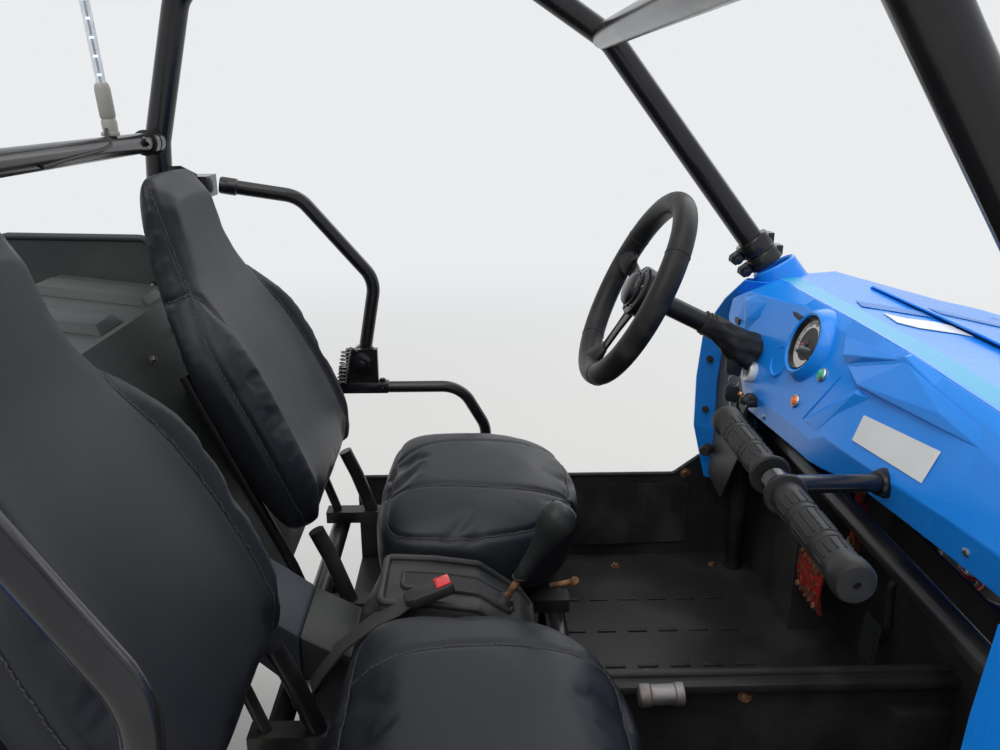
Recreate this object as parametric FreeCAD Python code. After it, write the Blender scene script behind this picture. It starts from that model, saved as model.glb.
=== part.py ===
import FreeCAD, Part
import math
import os

V = FreeCAD.Vector

# Overall sizes in mm. X points forward, Y to the driver's side, Z up from the ground.
OVERALL_WIDTH = 1270.0
WHEELBASE = 1700.0
REAR_OVERHANG = 300.0
FRONT_OVERHANG = 380.0
OVERALL_LENGTH = REAR_OVERHANG + WHEELBASE + FRONT_OVERHANG

# Tyres and rims
FRONT_TYRE_DIAMETER = 510.0
FRONT_TYRE_WIDTH = 178.0
REAR_TYRE_DIAMETER = 530.0
REAR_TYRE_WIDTH = 254.0
RIM_DIAMETER = 254.0
RIM_WALL = 5.0
HUB_DIAMETER = 64.0
LUG_HEIGHT = 13.0
LUG_WIDTH = 27.0
LUG_SKEW = 14.0
LUG_PAIRS = 11
FACETS_PER_LUG = 2
TREAD_HALF = 0.72
BEAD_STOCK = 10.0

# Floor, sills and the dividing rib between the footwells
FLOOR_TOP = 300.0
PANEL = 5.0
SILL_Y = 575.0
SILL_TOP = 480.0
FLOOR_REAR_X = -300.0
FLOOR_FRONT_X = 590.0
FLOOR_STEP_X = 500.0
FOOTWALL_TOP = 600.0
WHEEL_WELL_GAP = 55.0
RIB_Y = -50.0
RIB_THICKNESS = 22.0
RIB_TOP = 467.0

# Tubes
FRAME_TUBE = 32.0
CAGE_TUBE = 42.0
CROSS_TUBE = 32.0
CROSS_MEMBER = 30.0
GUARD_TUBE = 25.0
HIP_TUBE = 22.0
BUMPER_TUBE = 28.0
BEND_RADIUS = 70.0

# Frame levels and widths
RAIL_Y = 300.0
RAIL_Z = FLOOR_TOP - PANEL - FRAME_TUBE / 2
SEAT_RAIL_Z = 440.0
SEAT_POSTS_X = (-317.0, 60.0)
UPPER_RAIL_Z = 560.0
REAR_FRAME_Y = 300.0
FRONT_FRAME_Y = 150.0
UPRIGHT_BEHIND_AXLE = 165.0
FRAME_BEHIND_NOSE = 140.0
NOSE_POST_BACK = 40.0
NOSE_BAR_Z = 590.0
BUMPER_HALF = 190.0
BUMPER_LOW_Z = 300.0
FRAME_SPLITS_X = (-555.0, 600.0)
REAR_BEND_X = -620.0
REAR_UPRIGHT_X = -680.0
TAIL_END = 45.0
TAIL_CROSS = 190.0
DASH_BAR_X = 460.0
KNEE_BAR_Z = 660.0
DOOR_POST_Y = 515.0
ENGINE_X = (-735.0, -505.0)
ENGINE_CROSS_X = -510.0
FLOOR_CROSS_X = -120.0
ENGINE_Y = (-200.0, 66.0)
ENGINE_TOP = 674.0

# Roll cage
PILLAR_B_Y = 500.0
PILLAR_B_BASE = (-645.0, 440.0)
PILLAR_B_MID_X = -592.0
PILLAR_B_TOP = (-532.0, 1375.0)
ROOF_REAR_X = -430.0
ROOF_FRONT_X = -20.0
ROOF_Z = 1422.0
ROOF_Y = 500.0
PILLAR_A_TOP = (167.0, 1300.0)
PILLAR_A_TOP_Y = 495.0
PILLAR_A_BASE = (437.0, 944.0)
PILLAR_A_BASE_Y = 430.0
SOCKET_LENGTH = 70.0
SOCKET_DIAMETER = 60.0

# Seats
SEAT_Y = 292.0
SEAT_WIDTH = 440.0
CUSHION_REAR_X = -224.0
CUSHION_FRONT_X = 115.0
CUSHION_TOP = 636.0
CUSHION_BOTTOM = 478.0
CUSHION_FRONT_ROUND = 150.0
CUSHION_REAR_ROUND = 60.0
CUSHION_EDGE = 44.0
BACK_LENGTH = 570.0
BACK_THICKNESS = 100.0
BACK_WAIST = 85.0
BACK_SHOULDER = 300.0
BACK_NECK = 415.0
BACK_NECK_SET = 50.0
BACK_HEAD_SET = 18.0
BACK_HEAD_THICKNESS = 40.0
BACK_HEAD_WIDTH = 250.0
BACK_RECLINE = 23.0
BACK_FOOT = (-255.0, 615.0)
SEAT_GAP = 0.3

# Dash and cowl
COWL_Y = 560.0
COWL_SHOULDER_Z = 790.0
COWL_TOP_Y = 430.0
COWL_TOP_Z = 925.0
COWL_REAR_X = 392.0
COWL_FRONT_X = 560.0
SHELL = 5.0

# Steering
WHEEL_CENTRE = (187.0, 290.0, 927.0)
WHEEL_DIAMETER = 325.0
WHEEL_RIM = 36.0
COLUMN_TILT = 26.0
COLUMN_TUBE = 32.0
COLUMN_SHAFT = 16.0
COLUMN_LENGTH = 330.0
KINGPIN_OFFSET = 66.0
KINGPIN_DIAMETER = 18.0
STEER_ARM = 90.0
RACK_ROD = 16.0

# Front suspension
ARM_BARREL = 34.0
ARM_RISE = 72.0
ARM_TUBE = 24.0
ARM_SPREAD = 110.0
EYE_PIN = 12.0
EYE_DIAMETER = 28.0

# Rear axle and swing arm
AXLE_DIAMETER = 30.0
CARRIER_DIAMETER = 76.0
CARRIER_LENGTH = 160.0
SWING_PIVOT_X = -545.0
SWING_PIVOT_Z = 262.0
DISC_DIAMETER = 190.0
DISC_Y = -150.0
RUNNING = 0.05

# Side guard bars
GUARD_PIVOT = (-277.0, 560.0, 730.0)
GUARD_PIN = 12.0
GUARD_Y = 590.0
HIP_RAIL_Z = 678.0

# Small fittings
FLANGE_DIAMETER = 110.0
DISC_THICKNESS = 4.0
PIVOT_TUBE = 42.0
CHAIN_CASE_WIDTH = 48.0
MUFFLER_DIAMETER = 108.0
MUFFLER_Y = -180.0
MUFFLER_ENDS = (105.0, 100.0)
SPRING_DIAMETER = 52.0
SHOCK_Y = 64.0
SHOCK_INBOARD = 108.0
SHOCK_TOP_Y = 225.0
SHOCK_TOP_Z = 560.0
BALL_BOSS = 38.0
STEER_ARM_THICKNESS = 12.0
ROD_END_HEIGHT = 20.0
RACK_HOUSING = 190.0
WHEEL_HUB = 80.0
HUB_NUT = 44.0
SPOKE_ANGLES = (-10.0, 80.0, 170.0)
SPOKE_HALF = 15.0
SPOKE_SET = 12.0
SPOKE_PLATE = 6.0
HITCH_HOLE = 16.0
GUARD_END_X = -509.0
GUARD_END_Y = 545.0
GUARD_CATCH_GAP = 9.0
GAUGE_Y = 150.0
GAUGE_Z = 875.0
GAUGE_TILT = 21.0
GAUGE_DEPTH = 30.0
GAUGE_DIAMETER = 92.0
HANDLE_X = 250.0
HANDLE_Z = 830.0
HANDLE_SOCKET = 34.0
GRIP_DIAMETER = 33.0
FENDER_TOP_Z = 625.0
LAMP_Y = (92.0, 168.0)
LAMP_Z = (628.0, 668.0)
LAMP_BEHIND_NOSE = (90.0, 40.0)
BOX_FRONT_X = -612.0
BOX_INNER_X = -662.0
DECK_REAR = (-760.0, 925.0)
DECK_FRONT = (-560.0, 900.0)
BULKHEAD_KNEE = (-512.0, 800.0)
BULKHEAD_FOOT = (-372.0, 470.0)
BULKHEAD_HALF = 440.0
BOX_TAIL = 60.0
BOX_HALF = 470.0
BOX_FLOOR_RISE = 180.0
BOX_WALL_TOP = 985.0
BOX_REAR_TOP = 920.0
BACK_BAR = 16.0
RECLINER_TUBE = 24.0
SEAT_RAIL_ENDS = (-340.0, 80.0)
SEAT_RAIL_HALF = 15.0
SEAT_PLATE = 6.0
SEAT_SIDE = 150.0
CONSOLE_FRONT_X = 20.0
CONSOLE_WIDTH = 124.0
GEAR_ROD = 10.0
GEAR_KNOB = (45.0, 0.0, 683.0)
WHIP_LENGTH = 580.0

front_axle_x = FLOOR_STEP_X + FRONT_TYRE_DIAMETER / 2 + WHEEL_WELL_GAP
rear_axle_x = front_axle_x - WHEELBASE
front_axle_z = FRONT_TYRE_DIAMETER / 2
rear_axle_z = REAR_TYRE_DIAMETER / 2
front_wheel_y = OVERALL_WIDTH / 2 - FRONT_TYRE_WIDTH / 2
rear_wheel_y = OVERALL_WIDTH / 2 - REAR_TYRE_WIDTH / 2
kingpin_y = front_wheel_y - KINGPIN_OFFSET
tail_x = rear_axle_x - REAR_OVERHANG
nose_x = tail_x + OVERALL_LENGTH
middle_x = tail_x + OVERALL_LENGTH / 2
front_upright_x = front_axle_x - UPRIGHT_BEHIND_AXLE
frame_front_x = nose_x - FRAME_BEHIND_NOSE
nose_post_x = frame_front_x - NOSE_POST_BACK
tail_cross_x = tail_x + TAIL_CROSS
recline = math.radians(BACK_RECLINE)
pillar_b_mid = (PILLAR_B_MID_X, BACK_FOOT[1] + BACK_LENGTH * math.cos(recline))
arm_pivot_y = FRONT_FRAME_Y + FRAME_TUBE / 2 + ARM_BARREL / 2 + SEAT_GAP
lower_arm_z = front_axle_z - 40
upper_arm_z = front_axle_z + 90

os.makedirs("parts", exist_ok=True)


def save(name, *shapes):
    """Write one node, a solid or solids that don't touch, with the overall length centred on X 0."""
    solids = [solid.translated(V(-middle_x, 0, 0)) for shape in shapes for solid in shape.Solids]
    node = solids[0] if len(solids) == 1 else Part.makeCompound(solids)
    node.exportStep(f"parts/{name}.step")


def fuse(shapes):
    """Join shapes that meet into one."""
    joined = shapes[0].multiFuse(shapes[1:])
    return joined


def mirrored(shape):
    """The same shape on the other side of the centre plane."""
    return shape.mirror(V(0, 0, 0), V(0, 1, 0))


def both_sides(shape):
    return [shape, mirrored(shape)]


def block(x0, x1, y0, y1, z0, z1):
    """Box between two corners."""
    return Part.makeBox(x1 - x0, y1 - y0, z1 - z0, V(x0, y0, z0))


def rod(start, end, diameter):
    """Round bar from one point to another."""
    a = V(*start)
    b = V(*end)
    return Part.makeCylinder(diameter / 2, (b - a).Length, a, b - a)


def ring(start, end, outer, bore):
    """Round bar with a through bore."""
    a = V(*start)
    b = V(*end)
    return rod(start, end, outer).cut(Part.makeCylinder(bore / 2, (b - a).Length, a, b - a))


def tube(points, diameter, bend=BEND_RADIUS):
    """Bar along straight runs that are joined by tangent arcs."""
    corners = [V(*point) for point in points]
    edges = []
    start = corners[0]
    for before, corner, after in zip(corners, corners[1:], corners[2:]):
        back = before - corner
        ahead = after - corner
        half = back.getAngle(ahead) / 2
        setback = min(bend / math.tan(half), 0.45 * back.Length, 0.45 * ahead.Length)
        radius = setback * math.tan(half)
        back.normalize()
        ahead.normalize()
        inward = back + ahead
        inward.normalize()
        first = corner + back * setback
        last = corner + ahead * setback
        middle = corner + inward * (radius / math.sin(half) - radius)
        edges.append(Part.LineSegment(start, first).toShape())
        edges.append(Part.Arc(first, middle, last).toShape())
        start = last
    edges.append(Part.LineSegment(start, corners[-1]).toShape())
    path = Part.Wire(edges)
    circle = Part.Circle(corners[0], corners[1] - corners[0], diameter / 2)
    return path.makePipeShell([Part.Wire(circle.toShape())], True, False)


def outline_xz(points, y0, y1):
    """Prism across the machine from a side view outline of (x, z) corners."""
    corners = [V(x, y0, z) for x, z in points]
    face = Part.Face(Part.makePolygon(corners + corners[:1]))
    return face.extrude(V(0, y1 - y0, 0))


def outline_yz(points, x0, x1):
    """Prism along the machine from a front view outline of (y, z) corners."""
    corners = [V(x0, y, z) for y, z in points]
    face = Part.Face(Part.makePolygon(corners + corners[:1]))
    return face.extrude(V(x1 - x0, 0, 0))


def lathe_y(profile, centre):
    """Turned shape about a crosswise axis from (radius, y) corners."""
    x, y, z = centre
    corners = [V(x + radius, y + along, z) for radius, along in profile]
    face = Part.Face(Part.makePolygon(corners + corners[:1]))
    return face.revolve(V(x, y, z), V(0, 1, 0), 360)


def strip(points, depth, y0, y1):
    """Bent sheet across the machine: the (x, z) line given, and depth below it."""
    lower = [(x, z - depth) for x, z in reversed(points)]
    return outline_xz(points + lower, y0, y1)


# Tyres, rims and hubs
def tyre_profile(diameter, width):
    """(radius, y) corners of a tyre's section under its lugs."""
    tread = diameter / 2 - LUG_HEIGHT
    bead = RIM_DIAMETER / 2
    half = width / 2
    return [
        (bead - BEAD_STOCK, -half * 0.80),
        (bead, -half * 0.80),
        (bead + 0.35 * (tread - bead), -half),
        (tread - 0.28 * (tread - bead), -half),
        (tread, -half * TREAD_HALF),
        (tread, half * TREAD_HALF),
        (tread - 0.28 * (tread - bead), half),
        (bead + 0.35 * (tread - bead), half),
        (bead, half * 0.80),
        (bead - BEAD_STOCK, half * 0.80),
    ]


def faceted_ring(profile, sides):
    """Ring of flat facets about Y, with a facet's middle at the ground."""
    rings = []
    for index in range(sides):
        angle = 2 * math.pi * (0.25 + (index + 0.5) / sides)
        corner = math.cos(math.pi / sides)
        rings.append([
            V(radius / corner * math.cos(angle), along, -radius / corner * math.sin(angle))
            for radius, along in profile])
    facets = []
    for near, after in zip(rings, rings[1:] + rings[:1]):
        for here in range(len(profile)):
            there = (here + 1) % len(profile)
            corners = [near[here], near[there], after[there], after[here]]
            facets.append(Part.Face(Part.makePolygon(corners + corners[:1])))
    solid = Part.makeSolid(Part.makeShell(facets))
    return solid if solid.Volume > 0 else solid.reversed()


def lug(diameter, width):
    """One bar from the middle of the tread down over the shoulder, at the wheel's forward side."""
    tip = diameter / 2
    tread = tip - LUG_HEIGHT
    half = width / 2
    shoulder = tread - 0.28 * (tread - RIM_DIAMETER / 2)
    corners = [
        (tread - 6, 3),
        (tip, 3),
        (tip, half * TREAD_HALF),
        (shoulder, half),
    ]
    points = [V(radius, along, -LUG_WIDTH / 2) for radius, along in corners]
    face = Part.Face(Part.makePolygon(points + points[:1]))
    bar = face.extrude(V(0, 0, LUG_WIDTH))
    bar.rotate(V(0, 0, 0), V(1, 0, 0), LUG_SKEW)
    return bar


def rim_profile(width):
    """(radius, y) corners of a dished rim with its disc near the outer side."""
    seat = RIM_DIAMETER / 2
    half = width / 2 * 0.80
    inner = seat - RIM_WALL
    disc = half * 0.35
    centre = HUB_DIAMETER / 2 - 8
    return [
        (seat, -half),
        (seat, half),
        (inner, half),
        (inner, disc + RIM_WALL),
        (centre, disc + RIM_WALL),
        (centre, disc),
        (inner, disc),
        (inner, -half),
    ]


def tyre(diameter, width, centre):
    """Tyre whose bars stand in pairs, one pair on the ground."""
    body = faceted_ring(tyre_profile(diameter, width), LUG_PAIRS * FACETS_PER_LUG)
    bars = []
    for index in range(LUG_PAIRS):
        for bar in both_sides(lug(diameter, width)):
            bar.rotate(V(0, 0, 0), V(0, 1, 0), 90 + 360 * index / LUG_PAIRS)
            bars.append(bar)
    reach = block(-diameter, diameter, -width / 2, width / 2, -diameter, diameter)
    bore = rod((0, -width, 0), (0, width, 0), RIM_DIAMETER)
    return fuse([body] + bars).common(reach).cut(bore).removeSplitter().translated(V(*centre))


def rim(width, centre, side):
    """Rim whose disc faces outward on either side."""
    profile = [(radius, along * side) for radius, along in rim_profile(width)]
    x, y, z = centre
    wheel = lathe_y(profile, centre)
    disc_y = y + side * width / 2 * 0.80 * 0.35
    for index in range(4):
        angle = math.radians(45 + 90 * index)
        hole_x = x + 78 * math.cos(angle)
        hole_z = z + 78 * math.sin(angle)
        hole = rod((hole_x, disc_y - side * 20, hole_z), (hole_x, disc_y + side * 20, hole_z), 34)
        wheel = wheel.cut(hole)
    return wheel


front_disc_y = front_wheel_y + FRONT_TYRE_WIDTH / 2 * 0.80 * 0.35
rear_disc_y = rear_wheel_y + REAR_TYRE_WIDTH / 2 * 0.80 * 0.35
for name, side in (("left", 1), ("right", -1)):
    place = (front_axle_x, side * front_wheel_y, front_axle_z)
    save(f"tyre_front_{name}", tyre(FRONT_TYRE_DIAMETER, FRONT_TYRE_WIDTH, place))
    stub_bore = AXLE_DIAMETER + 2 * RUNNING
    hub = ring(
        (front_axle_x, side * (front_disc_y - 52), front_axle_z),
        (front_axle_x, side * (front_disc_y + 12), front_axle_z),
        HUB_DIAMETER, stub_bore)
    save(f"rim_front_{name}", rim(FRONT_TYRE_WIDTH, place, side).fuse(hub))
rear_places = [(rear_axle_x, side * rear_wheel_y, rear_axle_z) for side in (1, -1)]
save("tyres_rear", *[tyre(REAR_TYRE_DIAMETER, REAR_TYRE_WIDTH, place) for place in rear_places])
save("rims_rear", *[rim(REAR_TYRE_WIDTH, place, side) for place, side in zip(rear_places, (1, -1))])

# Rear axle with its flanges and brake disc
def crosswise(x, z, y0, y1, diameter):
    """Round bar along Y."""
    return rod((x, y0, z), (x, y1, z), diameter)


axle_end = rear_disc_y + 20
axle_parts = [crosswise(rear_axle_x, rear_axle_z, -axle_end, axle_end, AXLE_DIAMETER)]
for side in (1, -1):
    face_y = side * rear_disc_y
    axle_parts.append(crosswise(rear_axle_x, rear_axle_z, face_y - side * 70, face_y, HUB_DIAMETER))
    axle_parts.append(crosswise(rear_axle_x, rear_axle_z, face_y - side * 12, face_y, FLANGE_DIAMETER))
axle_parts.append(crosswise(
    rear_axle_x, rear_axle_z, DISC_Y - DISC_THICKNESS / 2, DISC_Y + DISC_THICKNESS / 2, DISC_DIAMETER))
save("rear_axle", fuse(axle_parts))

# Swing arm with the axle carrier and the chain case
carrier_half = CARRIER_LENGTH / 2
carrier = crosswise(rear_axle_x, rear_axle_z, -carrier_half, carrier_half, CARRIER_DIAMETER)
arms = [tube([
    (SWING_PIVOT_X, side * 120, SWING_PIVOT_Z),
    (rear_axle_x + 110, side * 70, SWING_PIVOT_Z),
    (rear_axle_x, side * 50, rear_axle_z)], FRAME_TUBE) for side in (1, -1)]
pivot_reach = RAIL_Y - FRAME_TUBE / 2
pivot_tube = crosswise(SWING_PIVOT_X, SWING_PIVOT_Z, -pivot_reach, pivot_reach, PIVOT_TUBE)
chain_case = outline_xz([
    (rear_axle_x - 95, rear_axle_z - 45),
    (rear_axle_x - 60, rear_axle_z - 90),
    (rear_axle_x + 60, rear_axle_z - 75),
    (SWING_PIVOT_X - 30, SWING_PIVOT_Z - 30),
    (SWING_PIVOT_X, SWING_PIVOT_Z + PIVOT_TUBE / 2),
    (SWING_PIVOT_X, SWING_PIVOT_Z + 105),
    (rear_axle_x + 60, rear_axle_z + 90),
    (rear_axle_x - 60, rear_axle_z + 90),
    (rear_axle_x - 95, rear_axle_z + 45)], carrier_half - 5, carrier_half + CHAIN_CASE_WIDTH - 5)
shock_seat = (rear_axle_x - 10, rear_axle_z + 75)
shock_top = (rear_axle_x + 50, UPPER_RAIL_Z + 40)
shock_lugs = [crosswise(*shock_seat, SHOCK_Y - 18, SHOCK_Y + 11, EYE_PIN)]
shock_lugs.append(block(
    shock_seat[0] - 14, shock_seat[0] + 14, SHOCK_Y - 24, SHOCK_Y - 14,
    rear_axle_z + 20, shock_seat[1] + 14))
shock_lugs += [mirrored(shape) for shape in shock_lugs]
bore = crosswise(rear_axle_x, rear_axle_z, -300, 300, AXLE_DIAMETER + 2 * RUNNING)
swing_arm = fuse([carrier, pivot_tube, chain_case] + arms + shock_lugs).cut(bore)
save("swing_arm", swing_arm)

# Engine block on its cross tubes, and the muffler under the tail
engine_bottom = RAIL_Z + CROSS_MEMBER / 2
save("engine", block(*ENGINE_X, *ENGINE_Y, engine_bottom, ENGINE_TOP))
tail_cross_z = UPPER_RAIL_Z + 30
muffler_z = tail_cross_z - CROSS_MEMBER / 2 - MUFFLER_DIAMETER / 2
save("muffler", rod(
    (tail_x + MUFFLER_ENDS[0], MUFFLER_Y, muffler_z),
    (rear_axle_x + MUFFLER_ENDS[1], MUFFLER_Y, muffler_z), MUFFLER_DIAMETER))

# Springs and dampers, each between two pinned eyes
upper_arm_reach = 0.40
shock_foot_y = kingpin_y - SHOCK_INBOARD
front_seat_z = lower_arm_z + (front_axle_z - ARM_RISE + 4 - lower_arm_z) * 0.8 + 26
shock_rows = [
    # lower x, y, z, upper x, y, z and the pins' direction
    (front_axle_x, shock_foot_y, front_seat_z, front_axle_x, SHOCK_TOP_Y, SHOCK_TOP_Z, V(1, 0, 0)),
    (shock_seat[0], SHOCK_Y, shock_seat[1], shock_top[0], SHOCK_Y, shock_top[1], V(0, 1, 0)),
]
shocks = []
for x0, y0, z0, x1, y1, z1, pin_dir in shock_rows:
    low = V(x0, y0, z0)
    high = V(x1, y1, z1)
    along = high - low
    half_eye = pin_dir * 10
    shock = fuse([
        rod(tuple(low), tuple(high), 16),
        rod(tuple(low + along * 0.16), tuple(low + along * 0.88), SPRING_DIAMETER),
        rod(tuple(low - half_eye), tuple(low + half_eye), EYE_DIAMETER),
        rod(tuple(high - half_eye), tuple(high + half_eye), EYE_DIAMETER),
    ])
    for eye in (low, high):
        shock = shock.cut(rod(tuple(eye - half_eye * 3), tuple(eye + half_eye * 3), EYE_PIN + 2 * RUNNING))
    shocks += both_sides(shock)
save("shock_absorbers", *shocks)

# Front arms, upper and lower on each side
front_arms = []
for joint_z, pivot_z, carries_shock in (
        (front_axle_z - ARM_RISE, lower_arm_z, True),
        (front_axle_z + ARM_RISE, upper_arm_z, False)):
    knee_y = kingpin_y - 150
    arm_parts = []
    for reach in (ARM_SPREAD, -ARM_SPREAD):
        arm_parts.append(tube([
            (front_axle_x + reach, arm_pivot_y, pivot_z),
            (front_axle_x + reach * upper_arm_reach, knee_y, joint_z + 4),
            (front_axle_x, kingpin_y, joint_z)], ARM_TUBE, 200))
        arm_parts.append(rod(
            (front_axle_x + reach - 22, arm_pivot_y, pivot_z),
            (front_axle_x + reach + 22, arm_pivot_y, pivot_z), ARM_BARREL))
    arm_parts.append(rod(
        (front_axle_x, kingpin_y, joint_z - 13),
        (front_axle_x, kingpin_y, joint_z + 13), BALL_BOSS))
    if carries_shock:
        for reach in (20, -20):
            arm_parts.append(block(
                front_axle_x + reach - 4, front_axle_x + reach + 4,
                shock_foot_y - 12, shock_foot_y + 12, joint_z - 6, front_seat_z + 12))
        arm_parts.append(rod(
            (front_axle_x - 24, shock_foot_y, front_seat_z),
            (front_axle_x + 24, shock_foot_y, front_seat_z), EYE_PIN))
    hole = rod(
        (front_axle_x, kingpin_y, joint_z - 60),
        (front_axle_x, kingpin_y, joint_z + 60), KINGPIN_DIAMETER + 2 * RUNNING)
    front_arms += both_sides(fuse(arm_parts).cut(hole))
save("front_arms", *front_arms)

# Knuckles, with kingpin ends in the arms and a stub axle in the hub
for name, side in (("left", 1), ("right", -1)):
    y = side * kingpin_y
    post = rod(
        (front_axle_x, y, front_axle_z - ARM_RISE + 16),
        (front_axle_x, y, front_axle_z + ARM_RISE - 16), 36)
    pin = rod(
        (front_axle_x, y, front_axle_z - ARM_RISE - 16),
        (front_axle_x, y, front_axle_z + ARM_RISE + 16), KINGPIN_DIAMETER)
    stub = crosswise(front_axle_x, front_axle_z, y, side * (front_disc_y + 10), AXLE_DIAMETER)
    arm = block(
        front_axle_x - STEER_ARM - 14, front_axle_x, y - 14, y + 14,
        front_axle_z - STEER_ARM_THICKNESS / 2, front_axle_z + STEER_ARM_THICKNESS / 2)
    save(f"knuckle_{name}", fuse([post, pin, stub, arm]))

# Steering rack bar with its tie rods, and the housing that guides it
rack_x = front_axle_x - STEER_ARM
rack_z = front_axle_z + STEER_ARM_THICKNESS / 2 + 1 + ROD_END_HEIGHT / 2
rod_ends = [rod(
    (rack_x, side * kingpin_y, rack_z - ROD_END_HEIGHT / 2),
    (rack_x, side * kingpin_y, rack_z + ROD_END_HEIGHT / 2), 28) for side in (1, -1)]
save("steering_rack", fuse([crosswise(rack_x, rack_z, -kingpin_y, kingpin_y, RACK_ROD)] + rod_ends))
rack_bore = crosswise(rack_x, rack_z, -200, 200, RACK_ROD + 2 * RUNNING)
housing_parts = [crosswise(rack_x, rack_z, -RACK_HOUSING / 2, RACK_HOUSING / 2, 50)]
for y in (-60, 60):
    foot_z = lower_arm_z + CROSS_MEMBER / 2
    housing_parts.append(block(rack_x - 12, rack_x + 12, y - 10, y + 10, foot_z, rack_z))
save("rack_housing", fuse(housing_parts).cut(rack_bore))

# Steering wheel and column
tilt = math.radians(COLUMN_TILT)
column_dir = V(math.cos(tilt), 0, -math.sin(tilt))
wheel_centre = V(*WHEEL_CENTRE)


def on_column(distance):
    """Point on the column's axis at a distance past the wheel's centre."""
    point = wheel_centre + column_dir * distance
    return (point.x, point.y, point.z)


ring_radius = (WHEEL_DIAMETER - WHEEL_RIM) / 2
wheel_parts = [Part.makeTorus(ring_radius, WHEEL_RIM / 2, wheel_centre, column_dir)]
wheel_parts.append(rod(on_column(-4), on_column(22), WHEEL_HUB))
wheel_parts.append(rod(on_column(15), on_column(45), HUB_NUT))
cross = V(0, 1, 0)
downward = cross.cross(column_dir)
for angle in SPOKE_ANGLES:
    outward = downward * math.sin(math.radians(angle)) + cross * math.cos(math.radians(angle))
    half = outward.cross(column_dir) * SPOKE_HALF
    root = wheel_centre + column_dir * SPOKE_SET + outward * WHEEL_HUB / 4
    tip = wheel_centre + outward * ring_radius
    spoke = Part.Face(Part.makePolygon([root - half, root + half, tip + half, tip - half, root - half]))
    wheel_parts.append(spoke.extrude(column_dir * SPOKE_PLATE))
column_end = 60 + COLUMN_LENGTH
wheel_parts.append(rod(on_column(30), on_column(column_end + 20), COLUMN_SHAFT))
save("steering_wheel", fuse(wheel_parts))
save("steering_column", ring(
    on_column(60), on_column(column_end), COLUMN_TUBE, COLUMN_SHAFT + 2 * RUNNING))

# Bars that the dash and the column rest on
dash_bar_below = (COLUMN_TUBE / 2 + FRAME_TUBE / 2 + SEAT_GAP) / math.cos(tilt)
dash_bar_z = WHEEL_CENTRE[2] - (DASH_BAR_X - WHEEL_CENTRE[0]) * math.tan(tilt) - dash_bar_below

# Pillar feet in the cowl's sockets
pillar_dir = V(
    PILLAR_A_TOP[0] - PILLAR_A_BASE[0], PILLAR_A_TOP_Y - PILLAR_A_BASE_Y, PILLAR_A_TOP[1] - PILLAR_A_BASE[1])
pillar_dir.normalize()
pillar_foot = V(PILLAR_A_BASE[0], PILLAR_A_BASE_Y, PILLAR_A_BASE[1])
socket_end = pillar_foot - pillar_dir * SOCKET_LENGTH

# Main frame
low_rail = lower_arm_z
high_rail = upper_arm_z
door_post_top = tuple(socket_end - pillar_dir * 30)
outrigger_z = PILLAR_B_BASE[1] - FRAME_TUBE / 2 - 1.6
frame_side = [
    tube([
        (REAR_BEND_X, RAIL_Y, RAIL_Z), (FLOOR_STEP_X, RAIL_Y, RAIL_Z),
        (front_upright_x, FRONT_FRAME_Y, low_rail), (frame_front_x, FRONT_FRAME_Y, low_rail)], FRAME_TUBE),
    tube([
        (REAR_BEND_X, RAIL_Y, RAIL_Z), (REAR_UPRIGHT_X, REAR_FRAME_Y, UPPER_RAIL_Z),
        (tail_x + TAIL_END, REAR_FRAME_Y, UPPER_RAIL_Z + 40)], FRAME_TUBE),
    rod(
        (front_upright_x, FRONT_FRAME_Y, low_rail),
        (front_upright_x, FRONT_FRAME_Y, KNEE_BAR_Z - 40), CROSS_MEMBER),
    rod((front_upright_x, FRONT_FRAME_Y, high_rail), (nose_post_x, FRONT_FRAME_Y, high_rail), CROSS_MEMBER),
    tube([
        (nose_post_x, FRONT_FRAME_Y, low_rail), (nose_post_x, FRONT_FRAME_Y, NOSE_BAR_Z),
        (front_upright_x, FRONT_FRAME_Y, KNEE_BAR_Z - 40),
        (DASH_BAR_X, RAIL_Y, KNEE_BAR_Z)], FRAME_TUBE),
    tube([
        tuple(socket_end), door_post_top, (DASH_BAR_X, DOOR_POST_Y, KNEE_BAR_Z),
        (DASH_BAR_X, DOOR_POST_Y, RAIL_Z)], FRAME_TUBE),
    rod(
        (PILLAR_B_BASE[0] - 6, RAIL_Y, outrigger_z),
        (PILLAR_B_BASE[0], PILLAR_B_Y + CAGE_TUBE / 2, outrigger_z), FRAME_TUBE),
    crosswise(FLOOR_STEP_X - 60, RAIL_Z, RAIL_Y, SILL_Y - 20, FRAME_TUBE),
]
for post_x in SEAT_POSTS_X:
    frame_side.append(rod((post_x, RAIL_Y, RAIL_Z), (post_x, RAIL_Y, SEAT_RAIL_Z), 28))
for reach in (ARM_SPREAD, -ARM_SPREAD):
    for pivot_z in (low_rail, high_rail):
        for ear in (-29, 29):
            ear_x = front_axle_x + reach + ear
            frame_side.append(block(
                ear_x - 4, ear_x + 4, FRONT_FRAME_Y, arm_pivot_y + 15, pivot_z - 15, pivot_z + 15))
frame_side.append(rod(
    (front_axle_x - 22, SHOCK_TOP_Y, SHOCK_TOP_Z),
    (front_axle_x + 22, SHOCK_TOP_Y, SHOCK_TOP_Z), EYE_PIN))
for reach in (18, -18):
    frame_side.append(block(
        front_axle_x + reach - 4, front_axle_x + reach + 4,
        FRONT_FRAME_Y, SHOCK_TOP_Y + 12, SHOCK_TOP_Z - 12, KNEE_BAR_Z - 48))
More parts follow.
